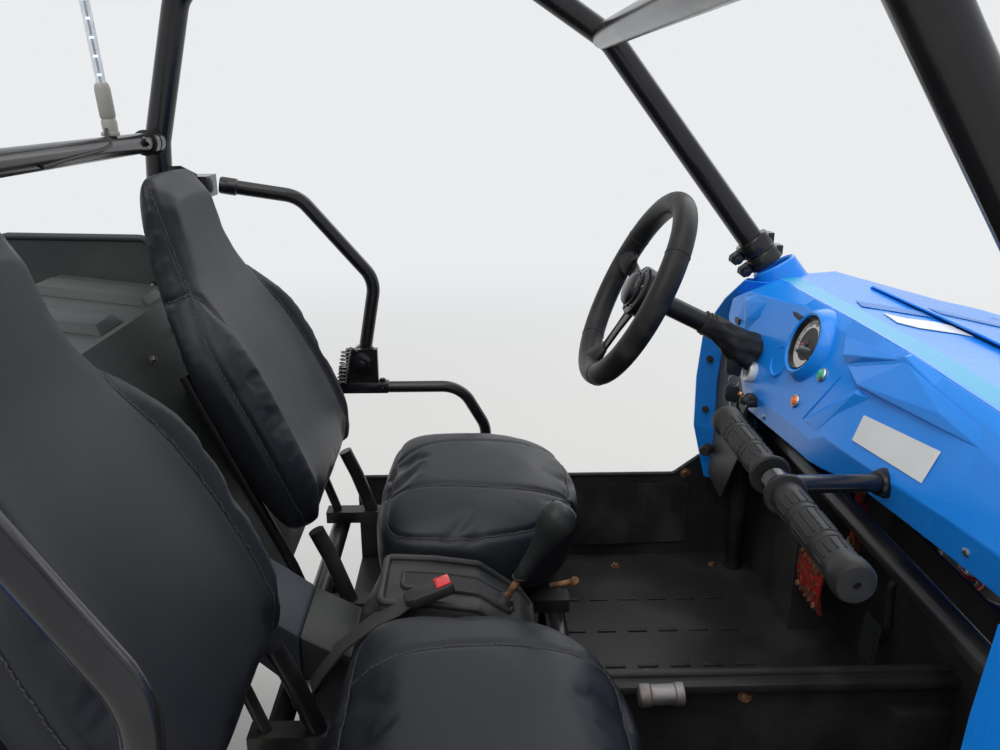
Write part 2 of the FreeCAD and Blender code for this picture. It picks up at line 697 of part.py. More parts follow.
cross_tubes = [
    # x, half length, z, diameter
    (ENGINE_CROSS_X, RAIL_Y, RAIL_Z, CROSS_MEMBER),
    (FLOOR_CROSS_X, SILL_Y - 20, RAIL_Z, CROSS_MEMBER),
    (DASH_BAR_X, DOOR_POST_Y, RAIL_Z, CROSS_MEMBER),
    (DASH_BAR_X, DOOR_POST_Y, KNEE_BAR_Z, FRAME_TUBE),
    (DASH_BAR_X, DOOR_POST_Y - 45, dash_bar_z, FRAME_TUBE),
    (ENGINE_X[0] - CROSS_MEMBER / 2, REAR_FRAME_Y, UPPER_RAIL_Z + 5, CROSS_MEMBER),
    (shock_top[0] + 50, REAR_FRAME_Y, shock_top[1], CROSS_MEMBER),
    (tail_cross_x, REAR_FRAME_Y, tail_cross_z, CROSS_MEMBER),
    (nose_post_x, FRONT_FRAME_Y, NOSE_BAR_Z, CROSS_MEMBER),
    (nose_post_x, FRONT_FRAME_Y, low_rail, CROSS_MEMBER),
    (rack_x, FRONT_FRAME_Y, low_rail, CROSS_MEMBER),
    (SEAT_POSTS_X[0], SEAT_Y + 190, SEAT_RAIL_Z, FRAME_TUBE),
    (SEAT_POSTS_X[1], SEAT_Y + 190, SEAT_RAIL_Z, FRAME_TUBE),
]
frame_parts = frame_side + [mirrored(shape) for shape in frame_side]
for x, half, z, diameter in cross_tubes:
    frame_parts.append(crosswise(x, z, -half, half, diameter))
for y in (-SHOCK_Y, SHOCK_Y):
    frame_parts.append(crosswise(*shock_top, y - 17, y + 17, EYE_PIN))
    for ear_y in (y - 16, y + 16):
        frame_parts.append(block(
            shock_top[0] - 13, shock_top[0] + 50, ear_y - 3, ear_y + 3,
            shock_top[1] - 13, shock_top[1] + 13))
hitch = block(tail_x, tail_cross_x, -30, 30, tail_cross_z - 4, tail_cross_z + 4)
frame_parts.append(hitch)
hitch_hole = rod((tail_x + 24, 0, tail_cross_z - 20), (tail_x + 24, 0, tail_cross_z + 20), HITCH_HOLE)
frame = fuse(frame_parts).cut(hitch_hole)
rear_split, front_split = FRAME_SPLITS_X
frame_zones = [
    # node, from x, to x
    ("rear_frame", tail_x - 100, rear_split),
    ("main_frame", rear_split, front_split),
    ("front_frame", front_split, nose_x + 100),
]
for name, from_x, to_x in frame_zones:
    save(name, frame.common(block(from_x, to_x, -OVERALL_WIDTH, OVERALL_WIDTH, 0, ROOF_Z)))

# Roll cage
cage_parts = []
for side in (1, -1):
    cage_parts.append(tube([
        (PILLAR_B_BASE[0], side * PILLAR_B_Y, PILLAR_B_BASE[1]),
        (pillar_b_mid[0], side * PILLAR_B_Y, pillar_b_mid[1]),
        (PILLAR_B_TOP[0], side * PILLAR_B_Y, PILLAR_B_TOP[1]),
        (ROOF_REAR_X, side * ROOF_Y, ROOF_Z),
        (ROOF_FRONT_X, side * ROOF_Y, ROOF_Z),
        (PILLAR_A_TOP[0], side * PILLAR_A_TOP_Y, PILLAR_A_TOP[1]),
        (PILLAR_A_BASE[0], side * PILLAR_A_BASE_Y, PILLAR_A_BASE[1])], CAGE_TUBE, 60))
    catch = block(-608, GUARD_END_X - GUARD_CATCH_GAP, PILLAR_B_Y, GUARD_END_Y + 14, 1045, 1081)
    cage_parts.append(catch if side == 1 else mirrored(catch))
cage_parts.append(crosswise(
    PILLAR_A_TOP[0] - 12, PILLAR_A_TOP[1] + 6, -PILLAR_A_TOP_Y, PILLAR_A_TOP_Y, CAGE_TUBE))
cage_parts.append(crosswise(*pillar_b_mid, -PILLAR_B_Y, PILLAR_B_Y, CROSS_TUBE))
cage_parts.append(crosswise(*PILLAR_B_TOP, -PILLAR_B_Y, PILLAR_B_Y, CROSS_TUBE))
save("roll_cage", fuse(cage_parts))

# Floor pan with sills, foot wall and the rib between the footwells
floor_base = FLOOR_TOP - PANEL
rib_rear_x = SEAT_POSTS_X[1] + FRAME_TUBE / 2 + 1
pan_parts = [
    block(FLOOR_REAR_X, FLOOR_STEP_X, -SILL_Y, SILL_Y, floor_base, FLOOR_TOP),
    block(FLOOR_STEP_X - PANEL, FLOOR_FRONT_X, -RAIL_Y, RAIL_Y, floor_base, FLOOR_TOP),
    block(FLOOR_FRONT_X - PANEL, FLOOR_FRONT_X, -RAIL_Y, RAIL_Y, floor_base, FOOTWALL_TOP),
    block(rib_rear_x, FLOOR_FRONT_X - 1, RIB_Y, RIB_Y + RIB_THICKNESS, floor_base, RIB_TOP),
]
sill_outline = [
    (FLOOR_REAR_X, floor_base), (FLOOR_STEP_X, floor_base), (FLOOR_STEP_X, SILL_TOP + 80),
    (COWL_REAR_X, SILL_TOP + 40), (COWL_REAR_X - 50, SILL_TOP), (FLOOR_REAR_X, SILL_TOP)]
pan_side = [
    outline_xz(sill_outline, SILL_Y - PANEL, SILL_Y),
    block(FLOOR_STEP_X - PANEL, FLOOR_STEP_X, RAIL_Y, SILL_Y, floor_base, FOOTWALL_TOP),
    block(FLOOR_STEP_X - PANEL, FLOOR_FRONT_X, RAIL_Y - PANEL, RAIL_Y, floor_base, FOOTWALL_TOP),
]
floor_pan = fuse(pan_parts + pan_side + [mirrored(shape) for shape in pan_side])
for side in (1, -1):
    for post_x, post_y in ((DASH_BAR_X, DOOR_POST_Y), (SEAT_POSTS_X[1], RAIL_Y)):
        floor_pan = floor_pan.cut(rod(
            (post_x, side * post_y, floor_base - 5), (post_x, side * post_y, FLOOR_TOP + 5), FRAME_TUBE + 1))
save("floor_pan", floor_pan)

# Cowl arch with the dash face
arch_half = [(COWL_Y, SILL_TOP + 5), (COWL_Y, COWL_SHOULDER_Z), (COWL_TOP_Y, COWL_TOP_Z)]
inner_half = [
    (COWL_Y - SHELL, SILL_TOP + 5), (COWL_Y - SHELL, COWL_SHOULDER_Z - 2),
    (COWL_TOP_Y - 2, COWL_TOP_Z - SHELL)]
arch_outline = arch_half + [(-y, z) for y, z in reversed(arch_half)]
arch_outline += [(-y, z) for y, z in inner_half] + list(reversed(inner_half))
arch = outline_yz(arch_outline, COWL_REAR_X, COWL_FRONT_X)
well_cut = block(FLOOR_STEP_X - PANEL - 1, COWL_FRONT_X + 10, -700, 700, 0, FOOTWALL_TOP)
dash_face = outline_yz([
    (COWL_Y - 2, 670), (COWL_Y - 2, COWL_SHOULDER_Z - 1), (COWL_TOP_Y - 1, COWL_TOP_Z - 2),
    (-COWL_TOP_Y + 1, COWL_TOP_Z - 2), (-COWL_Y + 2, COWL_SHOULDER_Z - 1),
    (-COWL_Y + 2, 800), (0, 750)], COWL_REAR_X, COWL_REAR_X + SHELL)
socket = rod(tuple(socket_end), tuple(pillar_foot), SOCKET_DIAMETER)
dash = fuse([arch, dash_face] + both_sides(socket)).cut(well_cut)
gauge_axis = V(math.cos(math.radians(GAUGE_TILT)), 0, -math.sin(math.radians(GAUGE_TILT)))
gauge_front = V(COWL_REAR_X - 14, GAUGE_Y, GAUGE_Z)
gauge_back = gauge_front + gauge_axis * GAUGE_DEPTH
dash = dash.cut(rod(on_column(60), on_column(520), COLUMN_TUBE + 1))
dash = dash.cut(rod(tuple(gauge_front), tuple(gauge_back), GAUGE_DIAMETER + 2 * SEAT_GAP))
handle_root = V(DASH_BAR_X, -120, dash_bar_z + 6)
handle_elbow = V(HANDLE_X, -210, HANDLE_Z)
handle_dir = handle_root - handle_elbow
handle_dir.normalize()
handle_stop = handle_root - handle_dir * 75
dash = dash.cut(rod(tuple(handle_stop - handle_dir * 20), tuple(handle_root), HANDLE_SOCKET + 2))
save("dash", dash)

# Hood from the cowl to the nose
hood_stations = [
    # x, top half width, top z, shoulder half width, shoulder z, foot half width, foot z
    (COWL_FRONT_X, COWL_TOP_Y, COWL_TOP_Z, COWL_Y, COWL_SHOULDER_Z, COWL_Y, FENDER_TOP_Z + 20),
    (front_axle_x - 120, 300.0, 900.0, 390.0, 840.0, 400.0, FENDER_TOP_Z),
    (front_axle_x + 120, 220.0, 830.0, 310.0, 775.0, 366.0, FENDER_TOP_Z),
    (nose_x - 130, 175.0, 765.0, 250.0, 720.0, 262.0, FENDER_TOP_Z - 5),
    (nose_x - 50, 140.0, 700.0, 190.0, 665.0, 200.0, 600.0),
]


def hood_section(x, top_y, top_z, side_y, side_z, foot_y, foot_z, inset):
    """Section of the hood, drawn closed, stepped in and down by the inset."""
    half = [(foot_y - inset, foot_z - inset), (side_y - inset, side_z - inset * 0.4), (top_y, top_z - inset)]
    corners = half + [(-y, z) for y, z in reversed(half)]
    points = [V(x, y, z) for y, z in corners]
    return Part.makePolygon(points + points[:1])


outer = Part.makeLoft([hood_section(*row, 0) for row in hood_stations], True, True)
first = hood_stations[0]
last = hood_stations[-1]
inner_rows = [first] + hood_stations[1:-1] + [(last[0] - SHELL,) + last[1:]]
inner = Part.makeLoft([hood_section(*row, SHELL) for row in inner_rows], True, True)
hood = outer.cut(inner)
lamp_rear = nose_x - LAMP_BEHIND_NOSE[0]
lamp_front = nose_x - LAMP_BEHIND_NOSE[1]
lamp = block(lamp_rear, lamp_front, *LAMP_Y, *LAMP_Z)
lamp_pocket = block(
    lamp_rear - 10, lamp_front + 10, LAMP_Y[0] - SEAT_GAP, LAMP_Y[1] + SEAT_GAP,
    LAMP_Z[0] - SEAT_GAP, LAMP_Z[1] + SEAT_GAP)
hood = hood.cut(lamp_pocket).cut(mirrored(lamp_pocket))
save("hood", hood)
save("headlamps", *both_sides(lamp))

# Fenders over the front and rear wheels
front_arch = [
    (FLOOR_FRONT_X + 2, 520), (FLOOR_FRONT_X + 20, 590), (front_axle_x - 120, FENDER_TOP_Z),
    (front_axle_x + 120, FENDER_TOP_Z),
    (nose_x - 120, 590), (nose_x - 60, 520)]
front_fender = strip(front_arch, PANEL, 330, OVERALL_WIDTH / 2 - 2)
save("fenders_front", *both_sides(front_fender))
box_z = UPPER_RAIL_Z + BOX_FLOOR_RISE
rear_arch = [
    (tail_x + 20, 545), (tail_x + 80, 615), (rear_axle_x + 110, 640),
    (REAR_UPRIGHT_X - 20, 622), (REAR_UPRIGHT_X + 4, 560)]
web_y = REAR_FRAME_Y + FRAME_TUBE / 2
rear_fender = strip(rear_arch, PANEL, web_y, OVERALL_WIDTH / 2 - 2)
rear_web = outline_xz([
    (tail_x + 80, 600), (tail_x + 80, box_z), (REAR_UPRIGHT_X - 25, box_z),
    (REAR_UPRIGHT_X - 25, 575), (rear_axle_x, 575)],
    web_y, web_y + PANEL)
save("fenders_rear", *both_sides(rear_fender.fuse(rear_web)))

# Cargo box behind the seats
box_rear = tail_x + BOX_TAIL
box_outer = outline_xz([
    (BOX_INNER_X, box_z), (BOX_INNER_X, DECK_REAR[1] - 40), (BOX_FRONT_X, DECK_REAR[1] - 20),
    (BOX_FRONT_X, BOX_WALL_TOP - 5), (rear_axle_x + 40, BOX_WALL_TOP),
    (box_rear, BOX_REAR_TOP), (box_rear, box_z)], -BOX_HALF, BOX_HALF)
box_inner = block(
    box_rear + PANEL, BOX_INNER_X - PANEL, PANEL - BOX_HALF, BOX_HALF - PANEL,
    box_z + PANEL, BOX_WALL_TOP + 50)
box_mouth = block(
    BOX_INNER_X - 2 * PANEL, BOX_FRONT_X + PANEL, PANEL - BOX_HALF, BOX_HALF - PANEL,
    DECK_REAR[1] - 60, BOX_WALL_TOP + 50)
deck_line = [DECK_REAR, DECK_FRONT, BULKHEAD_KNEE, BULKHEAD_FOOT]
deck_under = [(x - PANEL, z - PANEL) for x, z in reversed(deck_line)]
deck_side = [(DECK_REAR[0], box_z + PANEL / 2), *deck_line, *deck_under[:-1]]
deck_side += [(DECK_REAR[0] + PANEL, DECK_REAR[1] - PANEL), (DECK_REAR[0] + PANEL, box_z + PANEL / 2)]
deck = outline_xz(deck_side, -BULKHEAD_HALF, BULKHEAD_HALF)
save("cargo_box", fuse([box_outer.cut(box_inner).cut(box_mouth), deck]))
save("tail_lamps", *both_sides(block(box_rear - 25, box_rear, 330, 420, 790, 840)))


# Seats
def cushion():
    """Crowned seat cushion, round at the front in plan."""
    half = SEAT_WIDTH / 2
    body = block(CUSHION_REAR_X, CUSHION_FRONT_X, SEAT_Y - half, SEAT_Y + half, CUSHION_BOTTOM, CUSHION_TOP)
    for end_x, corner in ((CUSHION_FRONT_X, CUSHION_FRONT_ROUND), (CUSHION_REAR_X, CUSHION_REAR_ROUND)):
        uprights = [edge for edge in body.Edges if abs(edge.tangentAt(edge.FirstParameter).z) > 0.9
                    and abs(edge.CenterOfMass.x - end_x) < 1]
        body = body.makeFillet(corner, uprights)
    rims = [edge for edge in body.Edges if edge.CenterOfMass.z > CUSHION_TOP - 1]
    return body.makeFillet(CUSHION_EDGE, rims)


def lean(shape):
    """Stand a seat back's shape, made upright at the origin, on its foot."""
    shape.rotate(V(0, 0, 0), V(0, 1, 0), -BACK_RECLINE)
    return shape.translated(V(BACK_FOOT[0], SEAT_Y, BACK_FOOT[1]))


def on_back(set_back, height):
    """(x, z) of a point behind the front face of the seat back, at a height along it."""
    x = BACK_FOOT[0] - set_back * math.cos(recline) - height * math.sin(recline)
    z = BACK_FOOT[1] - set_back * math.sin(recline) + height * math.cos(recline)
    return x, z


def seat_back():
    """Bucket back: wide and deep below the shoulders, narrow and thin at the head."""
    half = SEAT_WIDTH / 2
    head = BACK_HEAD_WIDTH / 2
    front_view = [
        (half - 20, 0), (half, BACK_WAIST), (half, BACK_SHOULDER - 40), (head + 22, BACK_NECK - 30),
        (head, BACK_NECK + 40), (head - 12, BACK_LENGTH - 40), (head - 45, BACK_LENGTH)]
    front_view += [(-y, z) for y, z in reversed(front_view)]
    side_view = [
        (0, 0), (0, BACK_SHOULDER), (-BACK_NECK_SET, BACK_NECK), (-BACK_HEAD_SET, BACK_LENGTH),
        (-BACK_HEAD_SET - BACK_HEAD_THICKNESS, BACK_LENGTH), (-BACK_THICKNESS, BACK_NECK - 20),
        (-BACK_THICKNESS, 0)]
    slab = outline_xz(side_view, -half, half)
    return lean(slab.common(outline_yz(front_view, -BACK_THICKNESS, 0)))


for name, shape in (("cushion", cushion()), ("back", seat_back())):
    save(f"seat_{name}_left", shape)
    save(f"seat_{name}_right", mirrored(shape))

# Seat rails, with the bars behind the backs and the recliner tubes under them
rail_bottom = SEAT_RAIL_Z + FRAME_TUBE / 2
rail_top = CUSHION_BOTTOM - SEAT_GAP
bar_set = BACK_THICKNESS + BACK_BAR / 2 + SEAT_GAP
recliner_set = BACK_THICKNESS / 2
rail_middle = (rail_bottom + rail_top) / 2
seat_frame = []
for offset in (-SEAT_SIDE, SEAT_SIDE):
    y = SEAT_Y + offset
    bend_x, bend_z = on_back(bar_set, -40)
    high_x, high_z = on_back(bar_set, 290)
    hinge_x, hinge_z = on_back(recliner_set, -50)
    foot_x, foot_z = on_back(recliner_set, -SEAT_GAP)
    seat_frame.append(block(
        *SEAT_RAIL_ENDS, y - SEAT_RAIL_HALF, y + SEAT_RAIL_HALF, rail_bottom, rail_top))
    seat_frame.append(tube([
        (SEAT_POSTS_X[0], y, rail_middle), (bend_x, y, bend_z), (high_x, y, high_z)], BACK_BAR, 40))
    seat_frame.append(tube([
        (CUSHION_REAR_X - 30, y, rail_middle), (hinge_x, y, hinge_z),
        (foot_x, y, foot_z)], RECLINER_TUBE, 30))
seat_frame.append(block(
    CUSHION_REAR_X + 20, SEAT_RAIL_ENDS[1] - 10, SEAT_Y - SEAT_SIDE, SEAT_Y + SEAT_SIDE,
    rail_top - SEAT_PLATE, rail_top))
save("seat_frames", *both_sides(fuse(seat_frame)))

# Console and gear lever
console = outline_xz([
    (FLOOR_REAR_X, FLOOR_TOP), (CONSOLE_FRONT_X, FLOOR_TOP), (CONSOLE_FRONT_X, 505), (0, 540),
    (-60, 583), (-120, 592), (-185, 596), (-225, 515), (FLOOR_REAR_X, 560), (-425, 655),
    (-425, 640), (-372, 540), (FLOOR_REAR_X, 470)], -CONSOLE_WIDTH / 2, CONSOLE_WIDTH / 2)
lever_foot = V(-33, 0, 545)
knob = V(*GEAR_KNOB)
lever_slot = rod(tuple(lever_foot), tuple(lever_foot + (knob - lever_foot) * 0.5), GEAR_ROD + 2)
save("console", console.cut(lever_slot))
save("gear_lever", rod(tuple(lever_foot), tuple(knob), GEAR_ROD).fuse(Part.makeSphere(22, knob)))

# Passenger grab handle on the dash bar
handle = fuse([
    rod((HANDLE_X, -400, HANDLE_Z), (HANDLE_X, -20, HANDLE_Z), 22),
    rod((HANDLE_X, -385, HANDLE_Z), (HANDLE_X, -230, HANDLE_Z), GRIP_DIAMETER),
    rod((HANDLE_X, -190, HANDLE_Z), (HANDLE_X, -35, HANDLE_Z), GRIP_DIAMETER),
    rod(tuple(handle_elbow), tuple(handle_root), 20),
    rod(tuple(handle_stop), tuple(handle_root), HANDLE_SOCKET),
])
handle = handle.cut(crosswise(DASH_BAR_X, dash_bar_z, -200, 0, FRAME_TUBE + 2 * SEAT_GAP))
handle_back = block(DASH_BAR_X, DASH_BAR_X + 60, -220, 0, dash_bar_z - 60, dash_bar_z + 80)
save("grab_handle", handle.cut(handle_back))

# Pedals
brake = fuse([
    block(492, 500, 180, 275, 405, 490),
    tube([
        (500, 226, 450), (545, 200, 490), (540, 190, KNEE_BAR_Z),
        (DASH_BAR_X + FRAME_TUBE / 2 + SEAT_GAP, 190, KNEE_BAR_Z)], 14, 30),
])
throttle = fuse([
    block(536, 543, 70, 120, 350, 455),
    tube([
        (543, 95, 400), (565, 95, 430), (560, 95, 520), (FLOOR_FRONT_X - PANEL, 95, 520)], 12, 20),
])
save("pedals", brake, throttle)

# Front bumper on the ends of the low rails
bumper_x = nose_x - BUMPER_TUBE / 2
save("front_bumper", fuse([
    tube([
        (frame_front_x, -FRONT_FRAME_Y, low_rail), (bumper_x - 40, -FRONT_FRAME_Y, low_rail),
        (bumper_x, -BUMPER_HALF, BUMPER_LOW_Z), (bumper_x, -BUMPER_HALF, NOSE_BAR_Z),
        (bumper_x, BUMPER_HALF, NOSE_BAR_Z), (bumper_x, BUMPER_HALF, BUMPER_LOW_Z),
        (bumper_x - 40, FRONT_FRAME_Y, low_rail),
        (frame_front_x, FRONT_FRAME_Y, low_rail)], BUMPER_TUBE, 50),
    crosswise(bumper_x, (BUMPER_LOW_Z + NOSE_BAR_Z) / 2 - 5, -BUMPER_HALF, BUMPER_HALF, BUMPER_TUBE),
]))

# Instruments and switches on the dash face
gauge = rod(tuple(gauge_front), tuple(gauge_back), GAUGE_DIAMETER)
dash_items = [
    # y, z, depth, diameter
    (215.0, 789.0, 16.0, 28.0),
    (78.0, 840.0, 8.0, 18.0),
    (135.0, 797.0, 8.0, 18.0),
    (230.0, 735.0, 30.0, 14.0),
]
controls = [
    rod((COWL_REAR_X - depth, y, z), (COWL_REAR_X, y, z), size) for y, z, depth, size in dash_items]
save("instruments", gauge, *controls)

# Guard bars with their hinge, and the fixed hip rails
pivot_x, pivot_y, pivot_z = GUARD_PIVOT
boss_inner = pivot_y + 9
boss_outer = pivot_y + 44


def guard_bar():
    """Swinging bar from the catch on the pillar down to the hinge."""
    bar = tube([
        (GUARD_END_X, GUARD_END_Y, 1063),
        (-376, GUARD_Y - 28, 1040),
        (-250, GUARD_Y + 4, 880),
        (pivot_x, GUARD_Y, pivot_z)], GUARD_TUBE, 60)
    boss = crosswise(pivot_x, pivot_z, boss_inner, boss_outer, 44)
    return bar.fuse(boss).cut(crosswise(pivot_x, pivot_z, pivot_y, pivot_y + 60, GUARD_PIN + 2 * RUNNING))


save("guard_bar_left", guard_bar())
save("guard_bar_right", mirrored(guard_bar()))
pillar_at_rail = PILLAR_B_BASE[0] + (pillar_b_mid[0] - PILLAR_B_BASE[0]) * (
    (HIP_RAIL_Z - PILLAR_B_BASE[1]) / (pillar_b_mid[1] - PILLAR_B_BASE[1]))
foot_y = SILL_Y - PANEL / 2
hip_rail = tube([
    (pillar_at_rail, PILLAR_B_Y + CAGE_TUBE / 2, HIP_RAIL_Z), (pillar_at_rail, pivot_y, HIP_RAIL_Z),
    (-90, pivot_y, HIP_RAIL_Z), (-42, foot_y, 590), (-42, foot_y, SILL_TOP)], HIP_TUBE, 60)
hinge_plate = block(pivot_x - 30, pivot_x + 30, pivot_y - 7, pivot_y + 7, HIP_RAIL_Z, pivot_z + 25)
hinge_pin = crosswise(pivot_x, pivot_z, pivot_y, boss_outer + 3, GUARD_PIN)
save("hip_rails", *both_sides(fuse([hip_rail, hinge_plate, hinge_pin])))

# Whip light on the rear cross tube
whip_foot = V(pillar_b_mid[0], 310, pillar_b_mid[1] + CROSS_TUBE / 2)
whip_dir = V(-0.06, -0.02, 1)
whip_dir.normalize()
whip_base = whip_foot + V(0, 0, 20)
save("whip_light", fuse([
    rod(tuple(whip_foot), tuple(whip_base), 26),
    rod(tuple(whip_base - whip_dir * 5), tuple(whip_base + whip_dir * 50), 22),
    rod(tuple(whip_base), tuple(whip_base + whip_dir * WHIP_LENGTH), 14),
]))
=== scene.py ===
from math import cos, exp, pi, radians, sin, tan

import bmesh
import bpy
from mathutils import Matrix, Vector
from mathutils.bvhtree import BVHTree
from mathutils.kdtree import KDTree
from bpy.props import FloatProperty, FloatVectorProperty, IntProperty, PointerProperty
from bpy.types import Operator, Panel, PropertyGroup


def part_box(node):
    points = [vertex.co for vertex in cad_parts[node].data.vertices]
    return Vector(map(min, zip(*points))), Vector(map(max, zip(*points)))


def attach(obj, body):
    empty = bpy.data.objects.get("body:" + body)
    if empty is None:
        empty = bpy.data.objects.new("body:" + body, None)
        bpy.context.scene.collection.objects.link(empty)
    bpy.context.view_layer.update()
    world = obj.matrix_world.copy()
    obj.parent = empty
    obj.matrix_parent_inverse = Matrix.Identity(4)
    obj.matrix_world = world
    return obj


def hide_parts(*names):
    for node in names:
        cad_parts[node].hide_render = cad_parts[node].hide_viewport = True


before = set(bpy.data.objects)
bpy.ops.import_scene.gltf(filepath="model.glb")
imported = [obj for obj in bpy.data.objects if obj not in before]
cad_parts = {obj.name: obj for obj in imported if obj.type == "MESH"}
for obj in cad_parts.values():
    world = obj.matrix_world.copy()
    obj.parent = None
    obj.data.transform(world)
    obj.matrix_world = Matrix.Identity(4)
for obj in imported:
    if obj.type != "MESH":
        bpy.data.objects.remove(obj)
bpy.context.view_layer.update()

bl_info = {
    "name": "Side by side utv",
    "version": (1, 0, 0),
    "blender": (4, 5, 0),
    "location": "3D View > Sidebar > Utility vehicle",
    "description": "Dresses the packed frame of a small two seat utility vehicle",
    "category": "Object",
}

CHASSIS = "chassis"
CLOTH_FRAMES = 20
# Angles of a ring's points
ROUND = [2 * pi * step / 24 for step in range(24)]
UP = Vector((0, 0, 1))
ACROSS = Vector((0, 1, 0))


# Shader arithmetic and node making
class Value:
    """A shader value that Python's arithmetic works on; each step adds a Math node."""

    def __init__(self, finish, socket):
        self.finish = finish
        self.socket = socket

    def step(self, operation, other, flip=False):
        terms = [other, self] if flip else [self, other]
        return self.finish.node("Math", {"operation": operation}, dict(enumerate(terms)))

    def __add__(self, other):
        return self.step("ADD", other)

    __radd__ = __add__

    def __mul__(self, other):
        return self.step("MULTIPLY", other)

    __rmul__ = __mul__

    def __sub__(self, other):
        return self.step("SUBTRACT", other)

    def __rsub__(self, other):
        return self.step("SUBTRACT", other, flip=True)

    def smaller(self, other):
        return self.step("MINIMUM", other)

    def rise(self, low, high):
        """0 below low, 1 above high and smooth in between."""
        settings = {"interpolation_type": "SMOOTHSTEP"}
        return self.finish.node("MapRange", settings, {0: self, 1: low, 2: high})


class Finish:
    """One material: a shader and the nodes that feed it."""

    made = {}

    def __init__(self, name, colour, roughness, metallic=0.0, **constants):
        self.material = bpy.data.materials.new(name)
        self.material.use_nodes = True
        self.material.diffuse_color = (*colour, 1.0)
        self.tree = self.material.node_tree
        self.shader = self.tree.nodes["Principled BSDF"]
        self.place = self.node("TexCoord", {}, {}, output="Object")
        self.set("Base Color", (*colour, 1.0))
        self.set("Roughness", roughness)
        self.set("Metallic", metallic)
        for socket, value in constants.items():
            self.set(socket.replace("_", " "), value)
        Finish.made[name] = self

    def node(self, kind, settings, inputs, output=0):
        """A node of any kind, with its settings made before its sockets are filled."""
        made = self.tree.nodes.new("ShaderNode" + kind)
        for setting, value in settings.items():
            setattr(made, setting, value)
        for key, value in inputs.items():
            self.fill(made.inputs[key], value)
        return Value(self, made.outputs[output])

    def fill(self, socket, value):
        if isinstance(value, Value):
            self.tree.links.new(value.socket, socket)
        else:
            socket.default_value = value

    def set(self, socket, value):
        self.fill(self.shader.inputs[socket], value)

    def noise(self, scale, detail=4.0, place=None):
        return self.node("TexNoise", {}, {"Vector": place or self.place, "Scale": scale, "Detail": detail})

    def cells(self, scale):
        return self.node("TexVoronoi", {}, {"Vector": self.place, "Scale": scale})

    def stretched(self, scale):
        """Object coordinates stretched along an axis, for scratches and streaks."""
        return self.node("Mapping", {}, {"Vector": self.place, "Scale": scale})

    def blend(self, factor, first, second):
        """Colour between two, by a factor."""
        colours = [value if isinstance(value, Value) else (*value, 1.0) for value in (first, second)]
        settings = {"data_type": "RGBA"}
        return self.node("Mix", settings, {0: factor, 6: colours[0], 7: colours[1]}, output=2)

    def tint(self, factor, first, second):
        """Base colour between two, by a factor."""
        self.set("Base Color", self.blend(factor, first, second))

    def rough(self, value):
        self.set("Roughness", value)

    def bump(self, height, depth, strength=1.0):
        """Small relief in metres on the surface."""
        normal = self.node("Bump", {}, {"Strength": strength, "Distance": depth, "Height": height})
        self.set("Normal", normal)


def get_finish(name):
    return Finish.made[name].material


